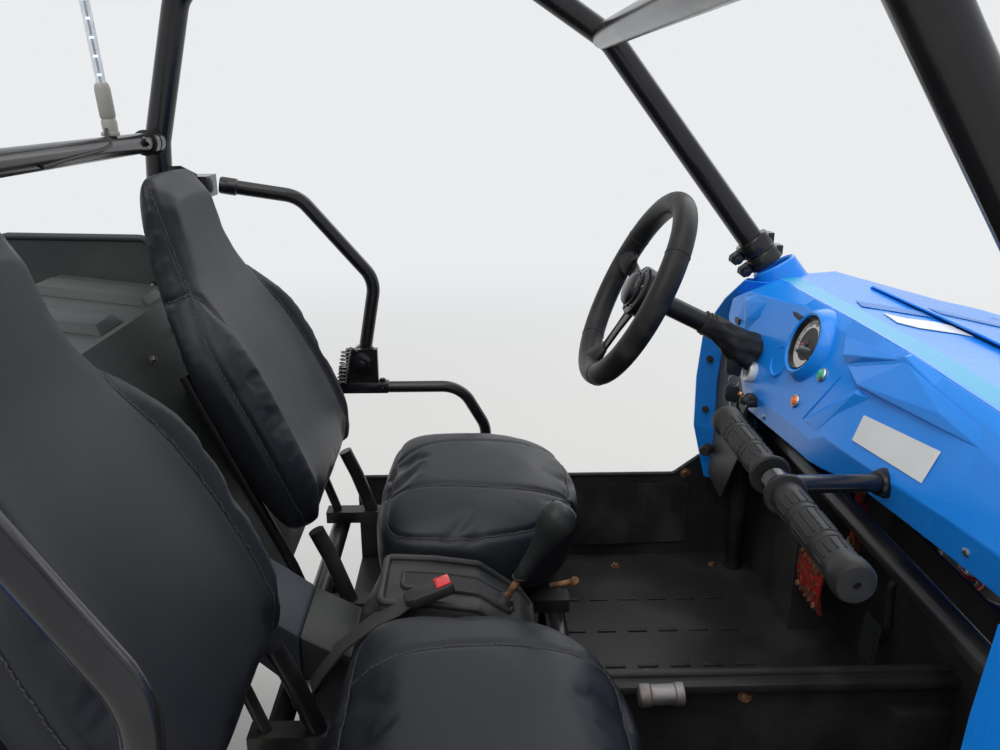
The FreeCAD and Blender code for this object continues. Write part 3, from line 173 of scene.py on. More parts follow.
# Shape building by mesh operators
class Shape:
    """A mesh that grows part by part, each with the material slot in use."""

    def __init__(self):
        self.bm = bmesh.new()
        self.slot = 0

    def take(self, part):
        """Add a part and free it."""
        for face in part.faces:
            face.material_index = self.slot
        mesh = bpy.data.meshes.new("part")
        part.to_mesh(mesh)
        part.free()
        self.bm.from_mesh(mesh)
        bpy.data.meshes.remove(mesh)
        return self

    def paint(self, slot):
        self.slot = slot
        return self

    def box(self, low, high, bevel=0.0, segments=2):
        part = bmesh.new()
        bmesh.ops.create_cube(part, size=1.0)
        low = Vector(low)
        high = Vector(high)
        bmesh.ops.scale(part, vec=high - low, verts=part.verts)
        if bevel:
            soften(part, part.edges[:], bevel, segments)
        bmesh.ops.translate(part, vec=(low + high) / 2, verts=part.verts)
        return self.take(part)

    def rod(self, start, end, radius, tip=None, sides=24, bevel=0.0):
        part = bmesh.new()
        start = Vector(start)
        end = Vector(end)
        along = end - start
        bmesh.ops.create_cone(part, cap_ends=True, segments=sides, radius1=radius,
            radius2=radius if tip is None else tip, depth=along.length)
        if bevel:
            rims = [edge for edge in part.edges if abs(edge.verts[0].co.z - edge.verts[1].co.z) < 1e-6]
            soften(part, rims, bevel, 2)
        point_along(part, along)
        bmesh.ops.translate(part, vec=(start + end) / 2, verts=part.verts)
        return self.take(part)

    def lathe(self, profile, centre, axis, steps=48):
        """Turned shape from (radius, along) corners about an axis, closed unless it ends on the axis."""
        part = bmesh.new()
        verts = [part.verts.new((radius, 0, along)) for radius, along in profile]
        ends = verts[1:] + (verts[:1] if profile[-1][0] else [])
        edges = [part.edges.new(pair) for pair in zip(verts, ends)]
        bmesh.ops.spin(part, geom=verts + edges, cent=(0, 0, 0), axis=(0, 0, 1), angle=2 * pi, steps=steps,
            use_merge=True, use_duplicate=False)
        bmesh.ops.remove_doubles(part, verts=part.verts, dist=1e-5)
        bmesh.ops.recalc_face_normals(part, faces=part.faces)
        point_along(part, axis)
        bmesh.ops.translate(part, vec=centre, verts=part.verts)
        return self.take(part)

    def pipe(self, points, radius, bend=0.0, rounds=4, closed=False):
        """Round bar along straight runs with rounded corners."""
        curve = bpy.data.curves.new("path", "CURVE")
        curve.dimensions = "3D"
        curve.bevel_depth = radius
        curve.bevel_resolution = rounds
        curve.use_fill_caps = not closed
        line = rounded(points, bend) if bend else [Vector(point) for point in points]
        spline = curve.splines.new("POLY")
        spline.points.add(len(line) - 1)
        for point, place in zip(spline.points, line):
            point.co = (*place, 1.0)
        spline.use_cyclic_u = closed
        holder = bpy.data.objects.new("path", curve)
        mesh = bpy.data.meshes.new_from_object(holder)
        part = bmesh.new()
        part.from_mesh(mesh)
        bpy.data.objects.remove(holder)
        bpy.data.curves.remove(curve)
        bpy.data.meshes.remove(mesh)
        bmesh.ops.remove_doubles(part, verts=part.verts, dist=1e-6)
        bmesh.ops.recalc_face_normals(part, faces=part.faces)
        return self.take(part)

    def ball(self, centre, radius, squash=(1, 1, 1)):
        part = bmesh.new()
        bmesh.ops.create_uvsphere(part, u_segments=32, v_segments=20, radius=radius)
        bmesh.ops.scale(part, vec=squash, verts=part.verts)
        bmesh.ops.translate(part, vec=centre, verts=part.verts)
        return self.take(part)

    def bolt(self, at, axis, size=0.008):
        """Hexagon head on a washer; size is the thread's diameter."""
        at = Vector(at)
        axis = Vector(axis).normalized()
        self.rod(at, at + axis * size * 0.2, size * 1.15, sides=20)
        return self.rod(at + axis * size * 0.2, at + axis * size * 0.8, size * 0.85, sides=6,
            bevel=size * 0.1)

    def plate(self, corners, axis, thickness, bevel=0.001):
        """Flat plate from its corner points, thick along an axis."""
        part = bmesh.new()
        face = part.faces.new([part.verts.new(corner) for corner in corners])
        grown = bmesh.ops.extrude_face_region(part, geom=[face])
        moved = [item for item in grown["geom"] if isinstance(item, bmesh.types.BMVert)]
        bmesh.ops.translate(part, vec=Vector(axis).normalized() * thickness, verts=moved)
        bmesh.ops.recalc_face_normals(part, faces=part.faces)
        if bevel:
            soften(part, part.edges[:], bevel, 2)
        return self.take(part)

    def skin(self, rings):
        """Closed skin over rings of points."""
        part = bmesh.new()
        loops = []
        for ring in rings:
            verts = [part.verts.new(point) for point in ring]
            loops.append([part.edges.new(pair) for pair in zip(verts, verts[1:] + verts[:1])])
        for near, far in zip(loops, loops[1:]):
            bmesh.ops.bridge_loops(part, edges=near + far)
        for loop in (loops[0], loops[-1]):
            bmesh.ops.contextual_create(part, geom=loop)
        bmesh.ops.recalc_face_normals(part, faces=part.faces)
        return self.take(part)

    def sheet(self, rows, outward, thickness=0.004, bevel=0.0, crease=9.0):
        """Panel over rows of points, thick on the side away from outward, its folds softened."""
        part = bmesh.new()
        chains = []
        for row in rows:
            verts = [part.verts.new(point) for point in row]
            chains.append([part.edges.new(pair) for pair in zip(verts, verts[1:])])
        for near, far in zip(chains, chains[1:]):
            bmesh.ops.bridge_loops(part, edges=near + far)
        bmesh.ops.recalc_face_normals(part, faces=part.faces)
        facing = Vector()
        for face in part.faces:
            facing += face.normal * face.calc_area()
        if facing.dot(Vector(outward)) < 0:
            bmesh.ops.reverse_faces(part, faces=part.faces)
        bmesh.ops.solidify(part, geom=part.faces[:], thickness=thickness)
        if bevel:
            folds = [edge
                for edge in part.edges if edge.is_manifold and edge.calc_face_angle(0.0) > radians(crease)]
            soften(part, folds, bevel, 2)
        return self.take(part)

    def coil(self, start, end, radius, wire, turns):
        """Spring of round wire between two points."""
        start = Vector(start)
        along = Vector(end) - start
        turn = UP.rotation_difference(along).to_matrix()
        steps = int(turns * 14)
        points = []
        for step in range(steps + 1):
            angle = 2 * pi * turns * step / steps
            place = Vector((radius * cos(angle), radius * sin(angle), along.length * step / steps))
            points.append(start + turn @ place)
        return self.pipe(points, wire, rounds=1)

    def mirrored_too(self):
        """Add the same shape on the other side of the centre plane."""
        copied = bmesh.ops.duplicate(self.bm, geom=self.bm.verts[:] + self.bm.edges[:] + self.bm.faces[:])
        verts = [item for item in copied["geom"] if isinstance(item, bmesh.types.BMVert)]
        faces = [item for item in copied["geom"] if isinstance(item, bmesh.types.BMFace)]
        bmesh.ops.scale(self.bm, vec=(1, -1, 1), verts=verts)
        bmesh.ops.reverse_faces(self.bm, faces=faces)
        return self

    def mesh(self, name):
        """The finished mesh; nothing can be added after it."""
        mesh = bpy.data.meshes.new(name)
        self.bm.to_mesh(mesh)
        self.bm.free()
        return mesh

    def piece(self, name, finishes, body=CHASSIS, slot=None, replaces=(), smooth=35.0):
        """Make the object, set its finishes and let it ride."""
        return settle(name, self.mesh(name), finishes, body, replaces, smooth)


def link(made):
    bpy.context.scene.collection.objects.link(made)


def settle(name, mesh, finishes, body=CHASSIS, replaces=(), smooth=35.0):
    """Link a mesh as a piece that rides on a body."""
    for finish in finishes:
        mesh.materials.append(get_finish(finish))
    mesh.shade_smooth()
    mesh.set_sharp_from_angle(angle=radians(smooth))
    made = bpy.data.objects.new(name, mesh)
    link(made)
    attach(made, body)
    if replaces:
        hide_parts(*replaces)
    return made


def soften(part, edges, offset, segments):
    bmesh.ops.bevel(part, geom=edges, offset=offset, segments=segments, profile=0.5, affect="EDGES",
        material=-1, clamp_overlap=True)


def point_along(part, axis):
    """Turn a part that was made along Z to an axis."""
    turn = UP.rotation_difference(Vector(axis)).to_matrix()
    bmesh.ops.rotate(part, cent=(0, 0, 0), matrix=turn, verts=part.verts)


def rounded(points, bend, steps=7):
    """A line's points with each corner as an arc of the bend's radius."""
    points = [Vector(point) for point in points]
    line = [points[0]]
    for before, corner, after in zip(points, points[1:], points[2:]):
        back = before - corner
        ahead = after - corner
        half = back.angle(ahead) / 2
        setback = min(bend / tan(half), 0.45 * back.length, 0.45 * ahead.length)
        first = corner + back.normalized() * setback
        last = corner + ahead.normalized() * setback
        for step in range(steps + 1):
            share = step / steps
            line.append(first.lerp(corner, share).lerp(corner.lerp(last, share), share))
    line.append(points[-1])
    return line


def turned(degrees, axis):
    return Matrix.Rotation(radians(degrees), 3, axis)


def baked(made):
    """Put the result of an object's modifiers in its mesh."""
    depsgraph = bpy.context.evaluated_depsgraph_get()
    mesh = bpy.data.meshes.new_from_object(made.evaluated_get(depsgraph))
    made.modifiers.clear()
    old = made.data
    made.data = mesh
    bpy.data.meshes.remove(old)


def smoothed(mesh, rounds):
    part = bmesh.new()
    part.from_mesh(mesh)
    for _ in range(rounds):
        bmesh.ops.smooth_vert(part, verts=part.verts, factor=0.5, use_axis_x=True, use_axis_y=True,
            use_axis_z=True)
    part.to_mesh(mesh)
    part.free()


def stuffed(mesh, voxel, pressure, cap):
    """Even out a soft form, blow it up a little as cloth and keep each point near its place."""
    soft = bpy.data.objects.new("soft", mesh)
    link(soft)
    rounding = soft.modifiers.new("rounding", "SUBSURF")
    rounding.levels = rounding.render_levels = 2
    even = soft.modifiers.new("even", "REMESH")
    even.mode = "VOXEL"
    even.voxel_size = voxel
    baked(soft)
    smoothed(soft.data, 3)
    rest = [vert.co.copy() for vert in soft.data.vertices]
    cloth = soft.modifiers.new("filling", "CLOTH")
    cloth.settings.use_pressure = True
    cloth.settings.uniform_pressure_force = pressure
    cloth.settings.effector_weights.gravity = 0.0
    cloth.settings.quality = 4
    for frame_number in range(1, CLOTH_FRAMES + 1):
        bpy.context.scene.frame_set(frame_number)
    baked(soft)
    bpy.context.scene.frame_set(1)
    for vert, start in zip(soft.data.vertices, rest):
        move = vert.co - start
        if move.length > cap:
            vert.co = start + move.normalized() * cap
    finer = soft.modifiers.new("finer", "SUBSURF")
    finer.levels = finer.render_levels = 1
    baked(soft)
    mesh = soft.data
    bpy.data.objects.remove(soft)
    return mesh


def pressed(mesh, points, width, depth):
    """Sink a channel of a width and depth along points on the surface."""
    tree = KDTree(len(points))
    for index, point in enumerate(points):
        tree.insert(point, index)
    tree.balance()
    normals = [vert.normal.copy() for vert in mesh.vertices]
    for vert, normal in zip(mesh.vertices, normals):
        distance = tree.find(vert.co)[2]
        if distance < 3 * width:
            vert.co -= normal * depth * exp(-(distance / width) ** 2)


def face_tree(mesh):
    """Search tree of a mesh's faces."""
    part = bmesh.new()
    part.from_mesh(mesh)
    tree = BVHTree.FromBMesh(part)
    part.free()
    return tree


def laid_on(mesh, points, direction):
    """Where lines from the points along a direction meet the mesh."""
    tree = face_tree(mesh)
    hits = [tree.ray_cast(Vector(point), Vector(direction))[0] for point in points]
    return [hit for hit in hits if hit is not None]


def spaced(points, step):
    """A line's points again, evenly spaced along it."""
    points = [Vector(point) for point in points]
    line = []
    for start, end in zip(points, points[1:]):
        count = max(1, round((end - start).length / step))
        line += [start.lerp(end, index / count) for index in range(count)]
    return line + [points[-1]]


def curved(points, steps=8):
    """Smooth line through all the points."""
    points = [Vector(point) for point in points]
    ends = [2 * points[0] - points[1]] + points + [2 * points[-1] - points[-2]]
    line = []
    for before, start, end, after in zip(ends, ends[1:], ends[2:], ends[3:]):
        for step in range(steps):
            share = step / steps
            square = 2 * before - 5 * start + 4 * end - after
            cube = 3 * start - before - 3 * end + after
            line.append(0.5 * (2 * start + (end - before) * share + square * share ** 2
                + cube * share ** 3))
    return line + [points[-1]]


def laid_back(mesh, points):
    """The points again, on the mesh where it is nearest."""
    tree = face_tree(mesh)
    return [tree.find_nearest(point)[0] for point in points]


# Settings that a user would change
class StageSettings(PropertyGroup):
    camera_place: FloatVectorProperty(name="Camera place", description="Where the camera stands",
        default=(-0.06, -1.0, 1.21), unit="LENGTH")
    camera_pitch: FloatProperty(name="Camera pitch", description="How far the camera looks down",
        default=radians(18.1), unit="ROTATION")
    camera_yaw: FloatProperty(name="Camera yaw", description="How far it turns to the front",
        default=radians(1.7), unit="ROTATION")
    focal_pixels: FloatProperty(name="Focal length", description="In pixels of a frame 1000 wide",
        default=850.0)
    floor_colour: FloatVectorProperty(name="Floor", description="Colour of the floor",
        default=(0.7, 0.69, 0.67), subtype="COLOR")


FRAME_WIDTH = 1000.0
SENSOR_WIDTH = 36.0
BACKDROP = (0.96, 0.98, 1.0, 1.0)
BACKDROP_STRENGTH = 0.86
SKY_STRENGTH = 0.62


class UTV_OT_stage(Operator):
    """Floor, sky, lamps and the camera at the photograph's angle"""

    bl_idname = "utv.stage"
    bl_label = "Stage"

    def execute(self, context):
        settings = context.scene.utv_stage
        context.scene.view_settings.view_transform = "Standard"
        self.floor(settings)
        self.sky(context.scene)
        self.lamps()
        self.camera(context.scene, settings)
        return {"FINISHED"}

    def floor(self, settings):
        finish = Finish("floor_finish", tuple(settings.floor_colour), 0.9)
        tree = finish.material.node_tree
        far = finish.node("VectorMath", {"operation": "LENGTH"}, {0: finish.place}, "Value").rise(1.6, 5.5)
        seen = Value(finish, self.seen_ray(tree))
        glow = tree.nodes.new("ShaderNodeEmission")
        glow.inputs["Color"].default_value = BACKDROP
        glow.inputs["Strength"].default_value = BACKDROP_STRENGTH
        mixed = tree.nodes.new("ShaderNodeMixShader")
        tree.links.new((far * seen).socket, mixed.inputs[0])
        tree.links.new(tree.nodes["Principled BSDF"].outputs[0], mixed.inputs[1])
        tree.links.new(glow.outputs[0], mixed.inputs[2])
        tree.links.new(mixed.outputs[0], tree.nodes["Material Output"].inputs[0])
        part = bmesh.new()
        bmesh.ops.create_grid(part, x_segments=1, y_segments=1, size=60.0)
        mesh = bpy.data.meshes.new("floor")
        part.to_mesh(mesh)
        part.free()
        mesh.materials.append(finish.material)
        floor = bpy.data.objects.new("floor", mesh)
        link(floor)

    def seen_ray(self, tree):
        """One for a ray that the camera, a reflection or clear plastic shows, else nought."""
        rays = tree.nodes.new("ShaderNodeLightPath")
        seen = rays.outputs["Is Camera Ray"]
        for kind in ("Is Glossy Ray", "Is Transmission Ray"):
            larger = tree.nodes.new("ShaderNodeMath")
            larger.operation = "MAXIMUM"
            tree.links.new(seen, larger.inputs[0])
            tree.links.new(rays.outputs[kind], larger.inputs[1])
            seen = larger.outputs[0]
        return seen

    def sky(self, scene):
        world = bpy.data.worlds.new("studio")
        scene.world = world
        world.use_nodes = True
        tree = world.node_tree
        strength = tree.nodes.new("ShaderNodeMapRange")
        tree.links.new(self.seen_ray(tree), strength.inputs[0])
        strength.inputs[3].default_value = SKY_STRENGTH
        strength.inputs[4].default_value = BACKDROP_STRENGTH
        sky = tree.nodes["Background"]
        sky.inputs["Color"].default_value = BACKDROP
        tree.links.new(strength.outputs[0], sky.inputs["Strength"])

    def lamps(self):
        rows = [
            # name, place, size, power
            ("key", (-1.5, -2.5, 4.5), 3.5, 95.0),
            ("fill", (2.5, 3.5, 3.8), 4.0, 70.0),
            ("top", (0.0, 0.0, 5.0), 3.0, 55.0),
        ]
        for name, place, size, power in rows:
            data = bpy.data.lights.new(name, "AREA")
            data.shape = "SQUARE"
            data.size = size
            data.energy = power
            lamp = bpy.data.objects.new(name, data)
            lamp.location = place
            lamp.rotation_mode = "QUATERNION"
            lamp.rotation_quaternion = (Vector((0, 0, 0.6)) - lamp.location).to_track_quat("-Z", "Y")
            link(lamp)

    def camera(self, scene, settings):
        data = bpy.data.cameras.new("camera")
        data.sensor_width = SENSOR_WIDTH
        data.lens = settings.focal_pixels / FRAME_WIDTH * SENSOR_WIDTH
        data.clip_start = 0.02
        camera = bpy.data.objects.new("camera", data)
        camera.location = settings.camera_place
        flat = cos(settings.camera_pitch)
        ahead = Vector((sin(settings.camera_yaw) * flat, cos(settings.camera_yaw) * flat,
            -sin(settings.camera_pitch)))
        camera.rotation_mode = "QUATERNION"
        camera.rotation_quaternion = ahead.to_track_quat("-Z", "Y")
        link(camera)
        scene.camera = camera


class FinishSettings(PropertyGroup):
    blue: FloatVectorProperty(name="Body blue", description="Colour of the moulded panels",
        default=(0.008, 0.25, 0.86), subtype="COLOR")
    vinyl: FloatVectorProperty(name="Vinyl", description="Colour of the seat covers",
        default=(0.011, 0.012, 0.016), subtype="COLOR")
    tube: FloatVectorProperty(name="Tube paint", description="Colour of the cage and frame",
        default=(0.01, 0.01, 0.012), subtype="COLOR")
    wear: FloatProperty(name="Wear", description="How much dust and scuffing shows", default=1.0, min=0.0,
        max=2.0)


class UTV_OT_finishes(Operator):
    """Make every finish and put one on each solid of the frame"""

    bl_idname = "utv.finishes"
    bl_label = "Finishes"

    # Share of the blue left in the painted shade of grooves
    GROOVE_SHADE = 0.62

    def execute(self, context):
        settings = context.scene.utv_finishes
        self.painted(settings)
        self.moulded(settings)
        self.seat_covers(settings)
        self.metals()
        self.lamps()
        self.dress()
        return {"FINISHED"}

    def painted(self, settings):
        """Gloss and satin black tube, worn red and white spring paint."""
        rows = [
            # name, colour, roughness, share of dust, dust colour
            ("cage_black", tuple(settings.tube), 0.2, 0.1, (0.1, 0.095, 0.09)),
            ("frame_black", tuple(settings.tube), 0.34, 0.32, (0.11, 0.1, 0.085)),
        ]
        for name, colour, roughness, dust, dust_colour in rows:
            finish = Finish(name, colour, roughness, Coat_Weight=0.25, Coat_Roughness=0.12,
                Specular_IOR_Level=0.25)
            cloud = finish.noise(9.0).rise(0.45, 0.75) * dust * settings.wear
            finish.tint(cloud, colour, dust_colour)
            finish.rough(cloud * 0.5 + roughness + finish.noise(160.0) * 0.06)
            finish.bump(finish.noise(700.0, 2.0), 0.0002, 0.35)
        finish = Finish("red_paint", (0.36, 0.016, 0.014), 0.45, Coat_Weight=0.2)
        worn = (finish.noise(38.0, 8.0) + finish.noise(150.0) * 0.25).rise(0.62, 0.72)
        rust = finish.noise(60.0, 6.0).rise(0.4, 0.6)
        finish.tint(worn, (0.36, 0.016, 0.014),
            finish.blend(rust, (0.05, 0.022, 0.014), (0.16, 0.055, 0.022)))
        finish.rough(worn * 0.35 + 0.42)
        finish.bump(worn, 0.0004, 0.6)
        finish = Finish("spring_paint", (0.55, 0.02, 0.015), 0.35, Coat_Weight=0.4)
        finish.rough(finish.noise(50.0) * 0.3 + 0.22)

    def moulded(self, settings):
        """Blue, black, grey and cargo plastics, and a darker blue that paints the shade in grooves."""
        blue = tuple(settings.blue)
        painted_groove_shade = tuple(channel * self.GROOVE_SHADE for channel in blue)
        finish = Finish("blue_plastic", blue, 0.3, Coat_Weight=0.12, Coat_Roughness=0.15,
            Specular_IOR_Level=0.32)
        haze = finish.noise(5.0, 3.0).rise(0.4, 0.8)
        scratch = finish.noise(14.0, 2.0, finish.stretched((4, 60, 4))).rise(0.66, 0.74)
        finish.tint(haze * 0.1 + scratch * 0.12, blue, (0.2, 0.4, 0.8))
        finish.rough(haze * 0.14 + 0.26 + scratch * 0.2)
        finish.bump(finish.noise(420.0, 2.0), 0.0002, 0.25)
        # Flat strips of this darker blue are painted shade along the grooves of the dash and hood
        Finish("blue_painted_groove_shade", painted_groove_shade, 0.45)
        rows = [
            # name, colour, scuff colour, share, scale, roughness
            ("black_plastic", (0.02, 0.02, 0.021), (0.095, 0.088, 0.078), 0.55, 7.0, 0.5),
            ("dusty_plastic", (0.018, 0.019, 0.019), (0.08, 0.077, 0.07), 0.7, 11.0, 0.48),
            ("grey_plastic", (0.04, 0.046, 0.046), (0.1, 0.1, 0.092), 0.45, 6.0, 0.5),
            ("tunnel_plastic", (0.035, 0.041, 0.05), (0.1, 0.105, 0.11), 0.75, 8.0, 0.6),
        ]
        for name, colour, scuff_colour, share, scale, roughness in rows:
            finish = Finish(name, colour, roughness, Specular_IOR_Level=0.25)
            dust = finish.noise(scale, 6.0).rise(0.42, 0.72)
            scratch = finish.noise(30.0, 3.0, finish.stretched((3, 26, 9))).rise(0.63, 0.7)
            marks = (dust * 0.6 + scratch * 0.4).smaller(1.0) * share * settings.wear
            finish.tint(marks, colour, scuff_colour)
            finish.rough(marks * 0.3 + roughness - 0.06)
            finish.bump(finish.noise(900.0, 2.0) + scratch * -0.5, 0.0004, 0.3)

    def seat_covers(self, settings):
        """Grained vinyl with its thread and near-black piping that paints the seams' shade, belt webbing,
        boots and grips.
        """
        vinyl = tuple(settings.vinyl)
        finish = Finish("seat_vinyl", vinyl, 0.44, Coat_Weight=0.03, Coat_Roughness=0.35,
            Specular_IOR_Level=0.24)
        rub = finish.noise(4.0, 4.0).rise(0.4, 0.7)
        finish.tint(rub * 0.35, vinyl, (0.024, 0.026, 0.032))
        finish.rough(rub * 0.12 + 0.38 + finish.noise(120.0) * 0.05)
        grain = finish.cells(1150.0)
        wrinkle = finish.noise(26.0, 4.0, finish.stretched((1, 1, 2.4)))
        finish.bump(grain * 0.35 + wrinkle * 1.6, 0.0006, 0.32)
        # Near-black fill: painted shade in the creases of seat and wheel seams, in the pedal's holes and in
        # the slots of the console and cargo box
        Finish("seam", (0.005, 0.005, 0.006), 0.7)
        Finish("thread", (0.03, 0.031, 0.034), 0.6)
        finish = Finish("webbing", (0.022, 0.022, 0.023), 0.75)
        weave = finish.node("TexWave", {"wave_type": "BANDS"}, {"Vector": finish.place, "Scale": 260.0})
        finish.tint(weave, (0.015, 0.015, 0.016), (0.045, 0.044, 0.042))
        finish.bump(weave, 0.0004, 0.5)
        rows = [
            # name, colour, roughness, grain scale
            ("wheel_rubber", (0.014, 0.014, 0.015), 0.46, 600.0),
            ("grip_rubber", (0.017, 0.017, 0.018), 0.52, 380.0),
            ("black_knob", (0.022, 0.024, 0.024), 0.42, 300.0),
        ]
        for name, colour, roughness, scale in rows:
            finish = Finish(name, colour, roughness, Specular_IOR_Level=0.22)
            dust = finish.noise(24.0, 5.0).rise(0.5, 0.75)
            finish.tint(dust * 0.35, colour, (0.08, 0.076, 0.07))
            finish.rough(dust * 0.25 + roughness - 0.04)
            finish.bump(finish.noise(scale, 3.0), 0.0004, 0.4)
        finish = Finish("tyre", (0.016, 0.016, 0.016), 0.72)
        dust = (finish.noise(7.0, 6.0) + finish.noise(60.0) * 0.3).rise(0.55, 0.85)
        finish.tint(dust * 0.5, (0.016, 0.016, 0.016), (0.13, 0.115, 0.09))
        finish.rough(dust * 0.15 + 0.68)
        finish.bump(finish.noise(260.0, 4.0), 0.0006, 0.4)

    def metals(self):
        """Bare, rusty, cast and turned metals."""
        rows = [
            # name, colour, roughness, rust share
            ("bright_steel", (0.5, 0.49, 0.47), 0.32, 0.1),
            ("dull_steel", (0.26, 0.25, 0.24), 0.48, 0.35),
            ("muffler_steel", (0.2, 0.19, 0.18), 0.42, 0.4),
            ("cast_metal", (0.24, 0.24, 0.245), 0.5, 0.12),
            ("rim_paint", (0.42, 0.42, 0.43), 0.34, 0.06),
        ]
        for name, colour, roughness, share in rows:
            finish = Finish(name, colour, roughness, 1.0)
            rust = finish.noise(36.0, 7.0).rise(0.48, 0.7) * share
            finish.tint(rust, colour, (0.15, 0.07, 0.035))
            finish.set("Metallic", 1.0 - rust * 0.8)
            finish.rough(rust * 0.4 + roughness + finish.noise(90.0) * 0.08)
            finish.bump(finish.noise(400.0, 3.0), 0.0003, 0.35)
        finish = Finish("rusty_steel", (0.17, 0.075, 0.036), 0.78, 0.2)
        scale = finish.noise(70.0, 8.0).rise(0.35, 0.65)
        finish.tint(scale, (0.085, 0.042, 0.026), (0.3, 0.14, 0.065))
        finish.set("Metallic", 0.5 - scale * 0.5)
        finish.bump(scale, 0.0005, 0.6)
        Finish("copper", (0.62, 0.27, 0.12), 0.35, 1.0)

    def lamps(self):
        """Lenses, lit and unlit, the gauge's face and the clear tube."""
        Finish("gauge_face", (0.72, 0.72, 0.7), 0.35, Coat_Weight=0.6)
        Finish("gauge_print", (0.03, 0.03, 0.035), 0.5)
        Finish("gauge_dark", (0.03, 0.036, 0.044), 0.16, Coat_Weight=0.7)
        Finish("gauge", (0.3, 0.3, 0.31), 0.35)
        Finish("white_paint", (0.74, 0.75, 0.75), 0.32, Coat_Weight=0.3)
        # Cyan of the hood's darts, and of the band on the cowl's ridge that paints its highlight
        Finish("cyan_paint_and_ridge_highlight", (0.015, 0.34, 0.6), 0.42, Coat_Weight=0.1)
        Finish("green_lens", (0.03, 0.42, 0.25), 0.14, Coat_Weight=0.6)
        Finish("orange_lens", (0.85, 0.16, 0.015), 0.16, Coat_Weight=0.6)
        Finish("red_button", (0.62, 0.014, 0.016), 0.3, Coat_Weight=0.5)
        Finish("red_lens", (0.5, 0.01, 0.01), 0.12, Coat_Weight=0.7)
        Finish("lamp_lens", (0.8, 0.83, 0.86), 0.06, Transmission_Weight=0.85, IOR=1.45)
        Finish("lamp_bowl", (0.72, 0.72, 0.72), 0.12, 1.0)
        Finish("clear_tube", (0.9, 0.93, 0.96), 0.05, Transmission_Weight=0.8, IOR=1.35)
        Finish("led_light", (0.85, 0.9, 1.0), 0.3, Emission_Color=(0.6, 0.72, 1.0, 1.0),
            Emission_Strength=2.2)
        Finish("socket_grey", (0.32, 0.31, 0.28), 0.5)

    def dress(self):
        """Put the finish of the same name on each material slot of the frame."""
        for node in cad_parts.values():
            for holder in node.material_slots:
                name = holder.material.name.split(".")[0] if holder.material else ""
                holder.material = get_finish(name if name in Finish.made else "frame_black")


class SeatSettings(PropertyGroup):
    centre: FloatProperty(name="Seat centre", description="Distance from the centre plane", default=0.292,
        unit="LENGTH")
    recline: FloatProperty(name="Recline", description="Lean of the seat backs", default=radians(23.0),
        unit="ROTATION")
    foot: FloatVectorProperty(name="Foot",
        description="Front lower edge of a back in the centre of the seat", default=(-0.255, 0.0, 0.615),
        unit="LENGTH")
    voxel: FloatProperty(name="Mesh size", description="Mesh size of the covers before they are refined",
        default=0.008, unit="LENGTH")
    pressure: FloatProperty(name="Filling", description="Pressure of the filling", default=2.5)
    swell: FloatProperty(name="Swell", description="Farthest that a cover swells", default=0.01,
        unit="LENGTH")
    stitch: FloatProperty(name="Stitch", description="Distance between stitches", default=0.0075,
        unit="LENGTH")


